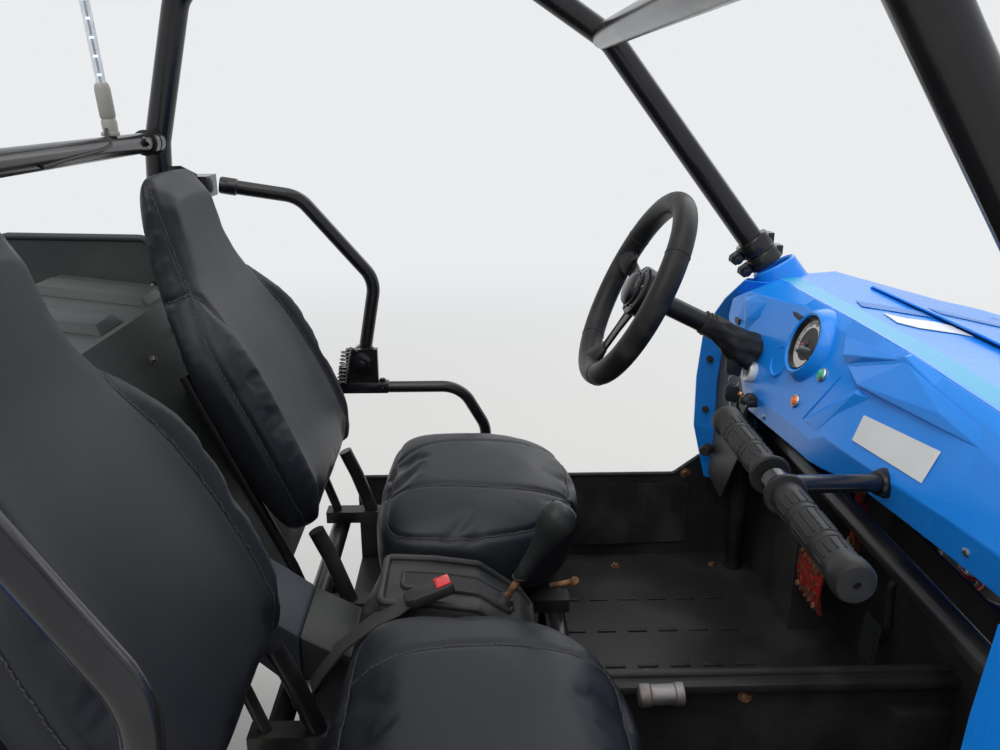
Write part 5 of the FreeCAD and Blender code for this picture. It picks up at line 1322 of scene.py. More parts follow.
class UTV_OT_instruments(Operator):
    """Fit the speedometer in its pod, the lamps, the ignition and the broken switch"""

    bl_idname = "utv.instruments"
    bl_label = "Instruments"

    GAUGE = Vector((0.408, 0.148, 0.878))
    TILT = 21.0
    FILM = 0.0006

    def execute(self, context):
        self.tree = face_tree(bpy.data.objects["dash_panels"].data)
        self.gauge()
        self.controls()
        self.marks()
        return {"FINISHED"}

    def on_panel(self, y, z):
        """Point of the dash face at a place across and up, and the way out of it."""
        hit, normal, *_ = self.tree.ray_cast(Vector((0.25, y, z)), Vector((1, 0, 0)))
        return hit, normal if normal.x < 0 else -normal

    def gauge(self):
        tilt = radians(self.TILT)
        into = Vector((cos(tilt), 0, -sin(tilt)))
        up = Vector((sin(tilt), 0, cos(tilt)))
        across = Vector((0, -1, 0))
        shape = Shape()
        shape.lathe([(0.04, 0.006), (0.04, -0.001), (0.0415, -0.004), (0.0445, -0.005), (0.049, -0.001),
            (0.056, 0.01), (0.057, 0.02), (0.043, 0.03)], self.GAUGE, into, steps=64)
        shape.paint(1).lathe([(0.0398, 0.02), (0.0398, -0.002), (0.0385, -0.0035), (0.037, -0.002),
            (0.036, 0.004), (0.036, 0.02)], self.GAUGE, into, steps=64)
        shape.paint(2).lathe([(0, 0.004), (0.0362, 0.004), (0.0362, 0.012), (0, 0.012)], self.GAUGE, into)
        face = self.GAUGE + into * 0.0038
        shape.paint(3)
        for index in range(41):
            angle = radians(215 - 250 * index / 40)
            long = index % 5 == 0
            outward = across * cos(angle) + up * sin(angle)
            side = outward.cross(into)
            near = face + outward * (0.0265 if long else 0.0295)
            far = face + outward * 0.0335
            half = side * (0.00075 if long else 0.0004)
            shape.plate([near - half, near + half, far + half, far - half], -into, 0.0003, bevel=0.0)
        lcd = [face + across * aside + up * lift
            for aside, lift in ((-0.021, -0.019), (0.021, -0.019), (0.021, -0.002), (0.011, 0.004),
            (-0.011, 0.004), (-0.021, -0.002))]
        shape.plate(lcd, -into, 0.001, bevel=0.0003)
        shape.lathe([(0, -0.0002), (0.0245, -0.0002), (0.0245, 0.0008), (0, 0.0008)], face, into)
        shape.paint(4)
        inset = [face - into * 0.001 + across * aside + up * lift
            for aside, lift in ((-0.018, -0.0165), (0.018, -0.0165), (0.018, -0.004), (-0.018, -0.004))]
        shape.plate(inset, -into, 0.0003, bevel=0.0)
        shape.paint(5)
        point = across * cos(radians(200)) + up * sin(radians(200))
        side = point.cross(into) * 0.0012
        root = face - into * 0.0022
        shape.plate([root - side - point * 0.006, root + side - point * 0.006, root + point * 0.029], -into,
            0.0006, bevel=0.0)
        shape.paint(3).lathe([(0, -0.0045), (0.004, -0.004), (0.005, -0.002), (0.005, 0), (0, 0)], face,
            into)
        shape.piece("speedometer", ["blue_plastic", "cage_black", "gauge_face", "gauge_print", "gauge_dark",
            "red_button"], slot="gauge", replaces=("instruments",))

    def controls(self):
        """Two lamps, the ignition with its keys, the switch with torn contacts and two screws."""
        shape = Shape()
        for slot, y, z in ((0, 0.078, 0.853), (1, 0.114, 0.803)):
            at, out = self.on_panel(y, z)
            shape.paint(2).lathe([(0.007, 0.0), (0.0098, 0.0), (0.0098, 0.0025), (0.0085, 0.004),
                (0.007, 0.004)], at, out, steps=32)
            shape.paint(slot).lathe([(0, 0.0075), (0.0035, 0.0071), (0.0062, 0.0058), (0.0072, 0.0038),
                (0.0072, 0), (0, 0)], at, out, steps=32)
        at, out = self.on_panel(0.277, 0.793)
        shape.paint(3).lathe([(0.0085, 0.0), (0.0165, 0.0), (0.0172, 0.004), (0.0172, 0.01),
            (0.0155, 0.0125), (0.0115, 0.0125), (0.0085, 0.009)], at, out, steps=40)
        shape.paint(4).lathe([(0, 0.007), (0.0088, 0.007), (0.0088, 0), (0, 0)], at, out, steps=32)
        side = out.cross(UP).normalized()
        stem = at + out * 0.007
        shape.paint(5).plate([stem - side * 0.0035, stem + side * 0.0035,
            stem + side * 0.0035 + out * 0.014, stem - side * 0.0035 + out * 0.014], UP, 0.002,
            bevel=0.0003)
        head = stem + out * 0.013
        shape.paint(6).plate([head + out * ahead + UP * lift
            for ahead, lift in ((0, -0.009), (0.004, -0.0125), (0.022, -0.0125), (0.026, -0.008),
            (0.026, 0.01), (0.021, 0.0135), (0.004, 0.0135), (0, 0.01))], side, 0.007, bevel=0.0016)
        loop = head + out * 0.012 - Vector((0, 0, 0.012))
        shape.paint(5).pipe([loop + out * 0.009 * cos(turn) - Vector((0, 0, 0.009)) * (1 - sin(turn))
            for turn in ROUND], 0.0007, rounds=2, closed=True)
        spare = loop - Vector((0, 0, 0.018))
        shape.paint(6).plate([spare + out * ahead + UP * lift
            for ahead, lift in ((-0.012, -0.001), (-0.014, -0.022), (-0.008, -0.027), (0.009, -0.027),
            (0.013, -0.021), (0.011, -0.002), (0.004, 0.002), (-0.006, 0.002))], side, 0.0065, bevel=0.0016)
        blade = spare - Vector((0, 0, 0.027))
        shape.paint(5).plate([blade + out * ahead + UP * lift
            for ahead, lift in ((-0.003, 0), (-0.004, -0.02), (-0.001, -0.024), (0.0015, -0.017),
            (0.003, 0))], side, 0.002, bevel=0.0003)
        at, out = self.on_panel(0.246, 0.757)
        shape.paint(6).box(at - Vector((0.012, 0.011, 0.009)), at + Vector((0.008, 0.011, 0.009)), 0.002)
        shape.ball(at - Vector((0.016, 0.004, -0.002)), 0.01, (1.0, 1.1, 0.8))
        shape.box(at - Vector((0.018, 0.018, 0.004)), at - Vector((0.004, 0.006, -0.004)), 0.0015)
        shape.paint(7)
        for reach, lift in ((0.006, 0.006), (0.014, 0.002), (-0.004, 0.009)):
            foot = at + Vector((-0.012, reach, lift))
            shape.box(foot - Vector((0.01, 0.0028, 0.0006)), foot + Vector((0.004, 0.0028, 0.0006)), 0.0003)
        shape.ball(at + Vector((-0.02, 0.01, 0.007)), 0.0045)
        wires = [
            [(-0.014, 0.012, 0.0), (-0.022, 0.022, -0.014), (-0.006, 0.03, -0.04), (0.02, 0.034, -0.06)],
            [(-0.012, -0.008, -0.004), (-0.018, -0.004, -0.026), (0.002, 0.01, -0.05), (0.024, 0.012, -0.07)],
        ]
        shape.paint(6)
        for wire in wires:
            shape.pipe([at + Vector(corner) for corner in wire], 0.0022, 0.02)
        shape.paint(5)
        for y, z in ((0.205, 0.745), (-0.3, 0.8)):
            at, out = self.on_panel(y, z)
            shape.lathe([(0, 0.003), (0.003, 0.0026), (0.0048, 0.001), (0.0048, 0), (0, 0)], at, out,
                steps=20)
        shape.piece("dash_controls", ["green_lens", "orange_lens", "bright_steel", "white_paint", "gauge",
            "bright_steel", "black_knob", "copper"])

    def marks(self):
        """Recess, crease line, wedges, blank label and small plates of the dash, and the cowl's strips: a
        white one and a darker blue one that paints a groove's shade.
        """
        shape = Shape()
        at, out = self.on_panel(0.212, 0.832)
        shape.lathe([(0.02, -0.001), (0.0225, 0.0012), (0.024, 0.0012), (0.0255, -0.001)], at, out,
            steps=48)
        line = [(0.076, 0.792), (0.05, 0.835), (0.036, 0.866)]
        points = [self.on_panel(place.y, place.z)[0]
            for place in spaced([(0, y, z) for y, z in line], 0.008)]
        shape.pipe(points, 0.0014, rounds=2)
        wedges = [
            # (y, z) round the foot, (y, z, rise) of the crest's ends
            ([(0.076, 0.909), (-0.083, 0.923), (0.036, 0.882)], [(0.046, 0.889, 0.007), (0.0, 0.901, 0.005)]),
            ([(0.036, 0.88), (-0.019, 0.867), (-0.083, 0.921), (-0.267, 0.891), (-0.25, 0.905)],
             [(-0.02, 0.871, 0.007), (-0.09, 0.884, 0.007), (-0.19, 0.896, 0.006)]),
            ([(0.076, 0.79), (-0.015, 0.866), (-0.05, 0.866), (0.03, 0.79)],
             [(0.06, 0.796, 0.003), (-0.022, 0.86, 0.006)]),
            ([(0.385, 0.892), (0.352, 0.903), (0.315, 0.897), (0.319, 0.873), (0.347, 0.838)],
             [(0.366, 0.886, 0.006), (0.345, 0.862, 0.006)]),
        ]
        for foot, crest in wedges:
            part = bmesh.new()
            base = [part.verts.new(self.on_panel(y, z)[0]) for y, z in foot]
            ends = []
            for y, z, rise in crest:
                at, out = self.on_panel(y, z)
                ends.append(part.verts.new(at + out * rise))
            bmesh.ops.convex_hull(part, input=base + ends)
            bmesh.ops.recalc_face_normals(part, faces=part.faces)
            soften(part, part.edges[:], 0.0012, 2)
            shape.take(part)
        shape.paint(1)
        corners = [(-0.056, 0.846), (-0.214, 0.866), (-0.21, 0.829), (-0.059, 0.815)]
        points = []
        for y, z in corners:
            at, out = self.on_panel(y, z)
            points.append(at + out * self.FILM)
        shape.plate(points, out, self.FILM, bevel=0.0)
        strips = [
            # slot, corners (x, y) on the cowl behind the hood
            (1, [
                (0.49, 0.06), (0.507, 0.035), (0.5456, 0.016), (0.56, 0.004), (0.56, 0.057), (0.548, 0.075),
                (0.515, 0.086), (0.496, 0.112)]),
            # darker blue strip: painted shade of a groove
            (3, [(0.484, 0.15), (0.491, 0.188), (0.56, 0.134), (0.56, 0.098)]),
        ]
        for slot, corners in strips:
            points = []
            for x, y in corners:
                hit = self.tree.ray_cast(Vector((x, y, 1.2)), -UP)[0]
                points.append(hit + UP * 0.001)
            shape.paint(slot).plate(points, (0, 0, 1), self.FILM, bevel=0.0)
        at, out = self.on_panel(0.376, 0.852)
        shape.paint(2).box(at - Vector((0.002, 0.01, 0.005)), at + Vector((0.006, 0.01, 0.005)), 0.001)
        at, out = self.on_panel(0.222, 0.8985)
        shape.box(at - Vector((0.0015, 0.017, 0.004)), at + Vector((0.004, 0.017, 0.004)), 0.001)
        shape.piece("dash_marks", ["blue_plastic", "white_paint", "black_plastic", "blue_painted_groove_shade"],
            smooth=12.0)


class UTV_OT_handle(Operator):
    """Slide the two grips on the passenger's grab handle and bolt its bracket"""

    bl_idname = "utv.handle"
    bl_label = "Grab handle"

    BAR = (0.25, 0.83)
    ROOT = Vector((0.46, -0.12, 0.787))
    GRIPS = ((-0.23, -0.402), (-0.19, -0.02))
    RADIUS = 0.0165

    def execute(self, context):
        x, z = self.BAR
        shape = Shape()
        shape.rod((x, -0.392, z), (x, -0.03, z), 0.011)
        elbow = Vector((x, -0.21, z))
        along = (self.ROOT - elbow).normalized()
        stop = self.ROOT - along * 0.075
        shape.rod(elbow, stop + along * 0.01, 0.01)
        shape.lathe([(0, 0.0), (0.015, 0.0), (0.017, 0.002), (0.017, 0.062), (0.0155, 0.064), (0, 0.064)],
            stop, along)
        shape.lathe([(0.0105, -0.01), (0.014, -0.008), (0.015, 0.002), (0.0105, 0.002)], stop, along)
        shape.lathe([(0.0112, -0.01), (0.015, -0.008), (0.015, 0.008), (0.0112, 0.01)], elbow, ACROSS)
        shape.paint(1)
        grip = self.RADIUS
        for inner, outer in self.GRIPS:
            length = abs(outer - inner)
            way = ACROSS if outer > inner else -ACROSS
            profile = [(0.0108, 0.0), (grip * 1.22, 0.0), (grip * 1.34, 0.0015), (grip * 1.36, 0.0035),
                (grip * 1.3, 0.006), (grip * 1.02, 0.0075), (grip * 1.0, 0.02)]
            for share in (0.3, 0.36, 0.62, 0.68):
                place = length * share
                profile += [(grip, place - 0.0018), (grip * 0.94, place - 0.0008),
                    (grip * 0.94, place + 0.0008), (grip, place + 0.0018)]
            profile += [(grip, length - 0.026), (grip * 1.12, length - 0.02), (grip * 1.16, length - 0.012),
                (grip * 1.14, length - 0.005), (grip * 1.02, length - 0.001), (grip * 0.8, length),
                (0.0035, length), (0.003, length - 0.004), (0, length - 0.004)]
            shape.lathe(profile, (x, inner, z), way, steps=48)
            for turn in range(14):
                angle = 2 * pi * turn / 14
                ray = Vector((cos(angle), 0, sin(angle))) * grip * 0.985
                for low, high in ((0.16, 0.28), (0.38, 0.6), (0.7, 0.8)):
                    near = Vector((x, inner, z)) + way * length * low + ray
                    shape.rod(near, near + way * length * (high - low), 0.0012, sides=6)
        shape.paint(2)
        bracket = [(-0.02, 0.02, 0.02), (0.008, 0.03, 0.022), (0.01, 0.03, -0.03), (-0.012, 0.022, -0.034)]
        shape.plate([self.ROOT + Vector(corner) for corner in bracket], (0, 1, 0), 0.004)
        shape.bolt(self.ROOT + Vector((-0.006, 0.026, 0.008)), (0, 1, 0), 0.008)
        shape.bolt(stop + along * 0.04 + Vector((0, 0, 0.0165)), (0, 0, 1), 0.007)
        shape.piece("grab_handle_grips", ["cage_black", "grip_rubber", "rusty_steel"], slot="grip_rubber",
            replaces=("grab_handle",))
        return {"FINISHED"}


class UTV_OT_pedals(Operator):
    """Bend the brake pedal with raised rings round near-black discs that paint its holes' shade, and bend the
    throttle pedal on its arm
    """

    bl_idname = "utv.pedals"
    bl_label = "Pedals"

    def execute(self, context):
        shape = Shape()
        rows = []
        for step in range(7):
            share = step / 6
            z = 0.405 + 0.085 * share
            x = 0.499 - 0.007 * sin(pi * share) - 0.002
            rows.append([(x - 0.004 * sin(pi * part / 6), 0.18 + 0.095 * part / 6, z) for part in range(7)])
        shape.sheet(rows, (-1, 0, 0), 0.004)
        for across in range(5):
            for up in range(4):
                at = Vector((0.4865, 0.193 + 0.0173 * across, 0.417 + 0.0205 * up))
                shape.paint(1).lathe([(0.0028, 0.0), (0.0052, 0.0), (0.0046, 0.0035), (0.003, 0.0035)],
                    at + Vector((0.004, 0, 0)), (-1, 0, 0), steps=16)
                # Near-black disc in the ring: painted shade of a punched hole
                shape.paint(2).rod(at + Vector((0.0045, 0, 0)), at + Vector((0.003, 0, 0)), 0.003, sides=14)
        shape.paint(0)
        shape.pipe([(0.5, 0.226, 0.45), (0.545, 0.2, 0.49), (0.54, 0.19, 0.66), (0.4763, 0.19, 0.66)],
            0.007, 0.03)
        shape.plate([(0.53, 0.186, 0.505), (0.55, 0.19, 0.5), (0.556, 0.186, 0.6), (0.536, 0.182, 0.604)],
            (0, 1, 0), 0.006)
        shape.lathe([(0.008, -0.012), (0.013, -0.012), (0.013, 0.012), (0.008, 0.012)], (0.476, 0.19, 0.66),
            (0, 1, 0), steps=24)
        shape.paint(3)
        rows = []
        for step in range(7):
            share = step / 6
            rows.append([(0.541 - 0.004 * sin(pi * share), 0.07 + 0.05 * part, 0.35 + 0.105 * share)
                for part in (0.0, 0.25, 0.75, 1.0)])
        shape.sheet(rows, (-1, 0, 0), 0.004)
        for up in range(7):
            shape.box((0.5345, 0.076, 0.36 + 0.0135 * up), (0.5375, 0.114, 0.364 + 0.0135 * up), 0.001)
        shape.pipe([(0.543, 0.095, 0.4), (0.565, 0.095, 0.43), (0.56, 0.095, 0.52), (0.585, 0.095, 0.52)],
            0.006, 0.02)
        shape.paint(4).bolt((0.536, 0.187, 0.54), (-1, 0, 0), 0.008)
        shape.piece("pedals_worn", ["red_paint", "rusty_steel", "seam", "black_knob", "rusty_steel"],
            slot="red_paint", replaces=("pedals",))
        return {"FINISHED"}


class UTV_OT_console(Operator):
    """Mould the console with its slot, and add the gear lever, the buckle and its strap"""

    bl_idname = "utv.console"
    bl_label = "Console"

    FRONT = [(-0.29, 0.3), (0.02, 0.3), (0.02, 0.505), (0.0, 0.54), (-0.06, 0.583), (-0.12, 0.592),
        (-0.185, 0.596), (-0.225, 0.515), (-0.29, 0.553)]
    REAR = [(-0.29, 0.3), (-0.29, 0.553), (-0.425, 0.655), (-0.425, 0.64), (-0.372, 0.54), (-0.3, 0.47),
        (-0.3, 0.3)]
    TOP = [(0.014, 0.516), (-0.002, 0.541), (-0.06, 0.584), (-0.12, 0.593), (-0.186, 0.597)]
    HALF = 0.062
    LEVER_FOOT = Vector((-0.033, 0, 0.545))
    KNOB = Vector((0.045, 0, 0.683))

    def execute(self, context):
        shape = Shape()
        for slot, outline in ((0, self.FRONT), (1, self.REAR)):
            shape.paint(slot).plate([(x, -self.HALF, z) for x, z in outline], (0, 1, 0), 2 * self.HALF,
                bevel=0.006)
        shape.paint(0)
        rim = [(x, self.HALF - 0.006, z + 0.001) for x, z in self.TOP]
        rim += [(x, 0.006 - self.HALF, z + 0.001) for x, z in reversed(self.TOP)]
        shape.pipe(rounded(rim + rim[:1], 0.012)[:-1], 0.005, rounds=3, closed=True)
        slot_top = [(-0.16, 0.5965), (-0.11, 0.593), (-0.062, 0.585), (-0.016, 0.554)]
        ring = [(x, 0.019, z) for x, z in slot_top] + [(x, -0.019, z) for x, z in reversed(slot_top)]
        shape.pipe(rounded(ring + ring[:1], 0.01)[:-1], 0.0035, rounds=2, closed=True)
        # Near-black sheet across the slot: painted shade of its inside
        shape.paint(2)
        rows = [[(x, y, z + 0.0012) for y in (-0.018, 0.018)] for x, z in slot_top]
        shape.sheet(rows, (0, 0, 1), 0.002)
        shape.piece("console_moulding", ["dusty_plastic", "tunnel_plastic", "seam"], slot="black_plastic",
            replaces=("console",))
        self.lever()
        self.belt()
        return {"FINISHED"}

    def lever(self):
        along = (self.KNOB - self.LEVER_FOOT).normalized()
        shape = Shape().rod(self.LEVER_FOOT, self.LEVER_FOOT + along * 0.1, 0.005)
        shape.paint(1).lathe([(0.0052, 0.056), (0.0085, 0.056), (0.0098, 0.06), (0.0104, 0.085),
            (0.012, 0.108), (0.0158, 0.126), (0.0205, 0.139), (0.0238, 0.15), (0.025, 0.16),
            (0.0238, 0.169), (0.019, 0.1755), (0.018, 0.1745), (0.0165, 0.1765), (0.008, 0.1795),
            (0, 0.18)], self.LEVER_FOOT, along, steps=40)
        shape.pipe([self.LEVER_FOOT + along * 0.0605 + Vector((0.01 * cos(turn), 0.01 * sin(turn), 0))
            for turn in ROUND], 0.0014, rounds=2, closed=True)
        shape.paint(2).lathe([(0.0055, 0.004), (0.02, 0.0), (0.0215, 0.004), (0.014, 0.012), (0.009, 0.02),
            (0.0055, 0.02)], self.LEVER_FOOT + along * 0.006, along, steps=32)
        shape.piece("gear_lever_sleeved", ["rusty_steel", "black_knob", "grip_rubber"], slot="black_knob",
            replaces=("gear_lever",))

    def belt(self):
        """Buckle on the console's rim, and the strap that runs down behind it."""
        tip = Vector((-0.086, -0.05, 0.616))
        root = Vector((-0.15, -0.066, 0.598))
        along = (tip - root).normalized()
        side = ACROSS - along * along.y
        side.normalize()
        up = along.cross(side)
        if up.z < 0:
            up = -up
        shape = Shape()
        outline = [(0.0, 0.01), (0.012, 0.016), (0.055, 0.017), (0.0635, 0.014)]
        corners = [root + along * reach + side * half for reach, half in outline]
        corners += [root + along * reach - side * half for reach, half in reversed(outline)]
        shape.plate(corners, up, 0.014, bevel=0.003)
        shape.paint(1)
        outline = [(0.042, 0.0125), (0.0615, 0.0115)]
        corners = [root + along * reach + side * half + up * 0.0135 for reach, half in outline]
        corners += [root + along * reach - side * half + up * 0.0135 for reach, half in reversed(outline)]
        shape.plate(corners, up, 0.0025, bevel=0.0008)
        shape.paint(2)
        run = [(root + along * 0.008 + up * 0.006, 0.012), (root - along * 0.012 + up * 0.004, 0.014),
            (Vector((-0.19, -0.072, 0.584)), 0.018), (Vector((-0.232, -0.071, 0.548)), 0.021),
            (Vector((-0.262, -0.07, 0.515)), 0.023), (Vector((-0.285, -0.068, 0.48)), 0.024)]
        rows = []
        for index, (place, half) in enumerate(run):
            lift = up * 0.004 * sin(index * 1.7)
            rows.append([place + side * half + lift, place + side * half * 0.4, place - side * half * 0.4,
                place - side * half - lift])
        shape.sheet(rows, up, 0.0022)
        shape.paint(3)
        shape.box((-0.3, -0.09, 0.462), (-0.272, -0.064, 0.49), 0.003)
        shape.bolt((-0.286, -0.09, 0.476), (0, -1, 0), 0.009)
        shape.piece("seat_belt", ["black_plastic", "red_button", "webbing", "dull_steel"])


class UTV_OT_fittings(Operator):
    """Clamp the cage's pillars, hinge the guard bars and wire the whip light"""

    bl_idname = "utv.fittings"
    bl_label = "Cage fittings"

    PIVOT_X = -0.277
    PIVOT_Z = 0.73
    # Corners of a clamp's ear: out from the pillar, along it
    EAR = [(0.024, -0.009), (0.046, -0.007), (0.049, 0.004), (0.043, 0.01), (0.024, 0.01)]

    def execute(self, context):
        self.clamps()
        self.hinges()
        self.whip()
        return {"FINISHED"}

    def clamps(self):
        base = Vector((0.437, 0.43, 0.944))
        along = (Vector((0.167, 0.495, 1.3)) - base).normalized()
        shape = Shape()
        shape.lathe([(0.0212, -0.006), (0.028, -0.006), (0.0295, -0.003), (0.0295, 0.014), (0.028, 0.017),
            (0.025, 0.018), (0.025, 0.021), (0.0285, 0.022), (0.03, 0.026), (0.03, 0.042), (0.028, 0.046),
            (0.0212, 0.046)], base, along, steps=36)
        side = along.cross(ACROSS).normalized()
        if side.x > 0:
            side = -side
        for reach in (0.006, 0.032):
            middle = base + along * reach
            for gap in (-0.007, 0.003):
                foot = middle + ACROSS * gap
                ear = [foot + side * out + along * lift for out, lift in self.EAR]
                shape.plate(ear, ACROSS, 0.005, bevel=0.0012)
            shape.bolt(middle + side * 0.037 - ACROSS * 0.007, -ACROSS, 0.008)
            shape.bolt(middle + side * 0.037 + ACROSS * 0.008, ACROSS, 0.008)
            foot = middle - side * 0.024
            shape.box(foot - Vector((0.01, 0.011, 0.009)), foot + Vector((0.01, 0.011, 0.009)), 0.002)
        shape.mirrored_too()
        for side_y in (-1, 1):
            for reach in (0.03, 0.052):
                at = Vector((-0.592, side_y * (0.5 - reach), 1.1397))
                shape.lathe([(0.0162, -0.009), (0.0205, -0.008), (0.0205, 0.008), (0.0162, 0.009)], at,
                    (0, 1, 0), steps=32)
        for y in (0.4, -0.12):
            shape.bolt((-0.5765, y, 1.142), (1, 0, 0.3), 0.008)
        shape.piece("cage_clamps", ["cage_black"])

    def hinges(self):
        shape = Shape()
        pivot = Vector((self.PIVOT_X, 0.56, self.PIVOT_Z))
        shape.lathe([(0, 0.01), (0.012, 0.01), (0.0185, 0.008), (0.0195, 0.004), (0.0195, 0), (0, 0)],
            pivot - Vector((0, 0.007, 0)), (0, -1, 0))
        shape.bolt(pivot - Vector((0, 0.017, 0)), (0, -1, 0), 0.01)
        shape.box((-0.33, 0.548, 0.668), (-0.228, 0.573, 0.69), 0.003)
        shape.box((-0.322, 0.552, 0.69), (-0.3, 0.568, 0.722), 0.003)
        for x in (-0.318, -0.24):
            shape.bolt((x, 0.56, 0.69), (0, 0, 1), 0.007)
            shape.bolt((x, 0.548, 0.679), (0, -1, 0), 0.006)
        shape.paint(1).coil((-0.316, 0.543, 0.692), (-0.304, 0.543, 0.756), 0.0085, 0.0016, 9)
        shape.pipe([(-0.304, 0.543, 0.756), (-0.296, 0.546, 0.762), (-0.285, 0.553, 0.752)], 0.0016, 0.004)
        shape.paint(0)
        shape.plate([(-0.606, 0.496, 1.028), (-0.56, 0.494, 1.024), (-0.534, 0.494, 1.044),
            (-0.53, 0.494, 1.086), (-0.556, 0.494, 1.1), (-0.602, 0.496, 1.098)], (0, -1, 0), 0.006)
        for x, z in ((-0.586, 1.082), (-0.566, 1.044)):
            shape.bolt((x, 0.4875, z), (0, -1, 0), 0.009)
        shape.mirrored_too()
        shape.piece("guard_hinges", ["cage_black", "dull_steel"])
        for name, side in (("left", 1), ("right", -1)):
            end = Vector((-0.509, side * 0.545, 1.063))
            before = Vector((-0.376, side * 0.562, 1.04))
            along = (end - before).normalized()
            shape = Shape()
            shape.lathe([(0.0126, -0.03), (0.015, -0.028), (0.015, -0.004), (0.014, 0.0), (0, 0.001)], end,
                along)
            foot = Vector((self.PIVOT_X, side * 0.59, self.PIVOT_Z))
            shape.lathe([(0.0221, -0.01), (0.025, -0.009), (0.025, 0.009), (0.0221, 0.01)], foot, (0, 1, 0),
                steps=36)
            shape.paint(1).bolt(foot + Vector((0, side * 0.0175, 0)), (0, side, 0), 0.01)
            shape.piece(f"guard_bar_ends_{name}", ["cage_black", "dull_steel"], body=f"guard_bar_{name}")

    def whip(self):
        foot = Vector((-0.592, 0.31, 1.1557))
        along = Vector((-0.06, -0.02, 1)).normalized()
        base = foot + Vector((0, 0, 0.02))
        shape = Shape()
        shape.rod(foot, foot + Vector((0, 0, 0.006)), 0.013, bevel=0.001)
        shape.lathe([(0, -0.016), (0.0105, -0.016), (0.011, 0.0), (0.0095, 0.004), (0.011, 0.008),
            (0.011, 0.046), (0.0095, 0.052), (0.008, 0.054), (0, 0.054)], base, along, steps=32)
        shape.paint(1).lathe([(0.0058, 0.05), (0.007, 0.05), (0.007, 0.574), (0.005, 0.58), (0, 0.58),
            (0, 0.577), (0.0045, 0.576), (0.0058, 0.572)], base, along, steps=24)
        shape.paint(2).rod(base + along * 0.052, base + along * 0.47, 0.0016, sides=10)
        shape.paint(3).rod(base + along * 0.47, base + along * 0.568, 0.0046, sides=16)
        for index in range(16):
            place = base + along * (0.065 + 0.025 * index)
            shape.box(place - Vector((0.0024, 0.0024, 0.0016)), place + Vector((0.0024, 0.0024, 0.0016)),
                0.0004)
        shape.paint(4)
        shape.pipe([(-0.592, 0.297, 1.166), (-0.59, 0.288, 1.158), (-0.5765, 0.27, 1.146),
            (-0.5745, 0.23, 1.14), (-0.5745, 0.15, 1.136), (-0.577, 0.06, 1.13)], 0.0024, 0.01)
        shape.piece("whip_light_tube", ["socket_grey", "clear_tube", "dull_steel", "led_light",
            "black_plastic"], slot="clear_tube", replaces=("whip_light",))


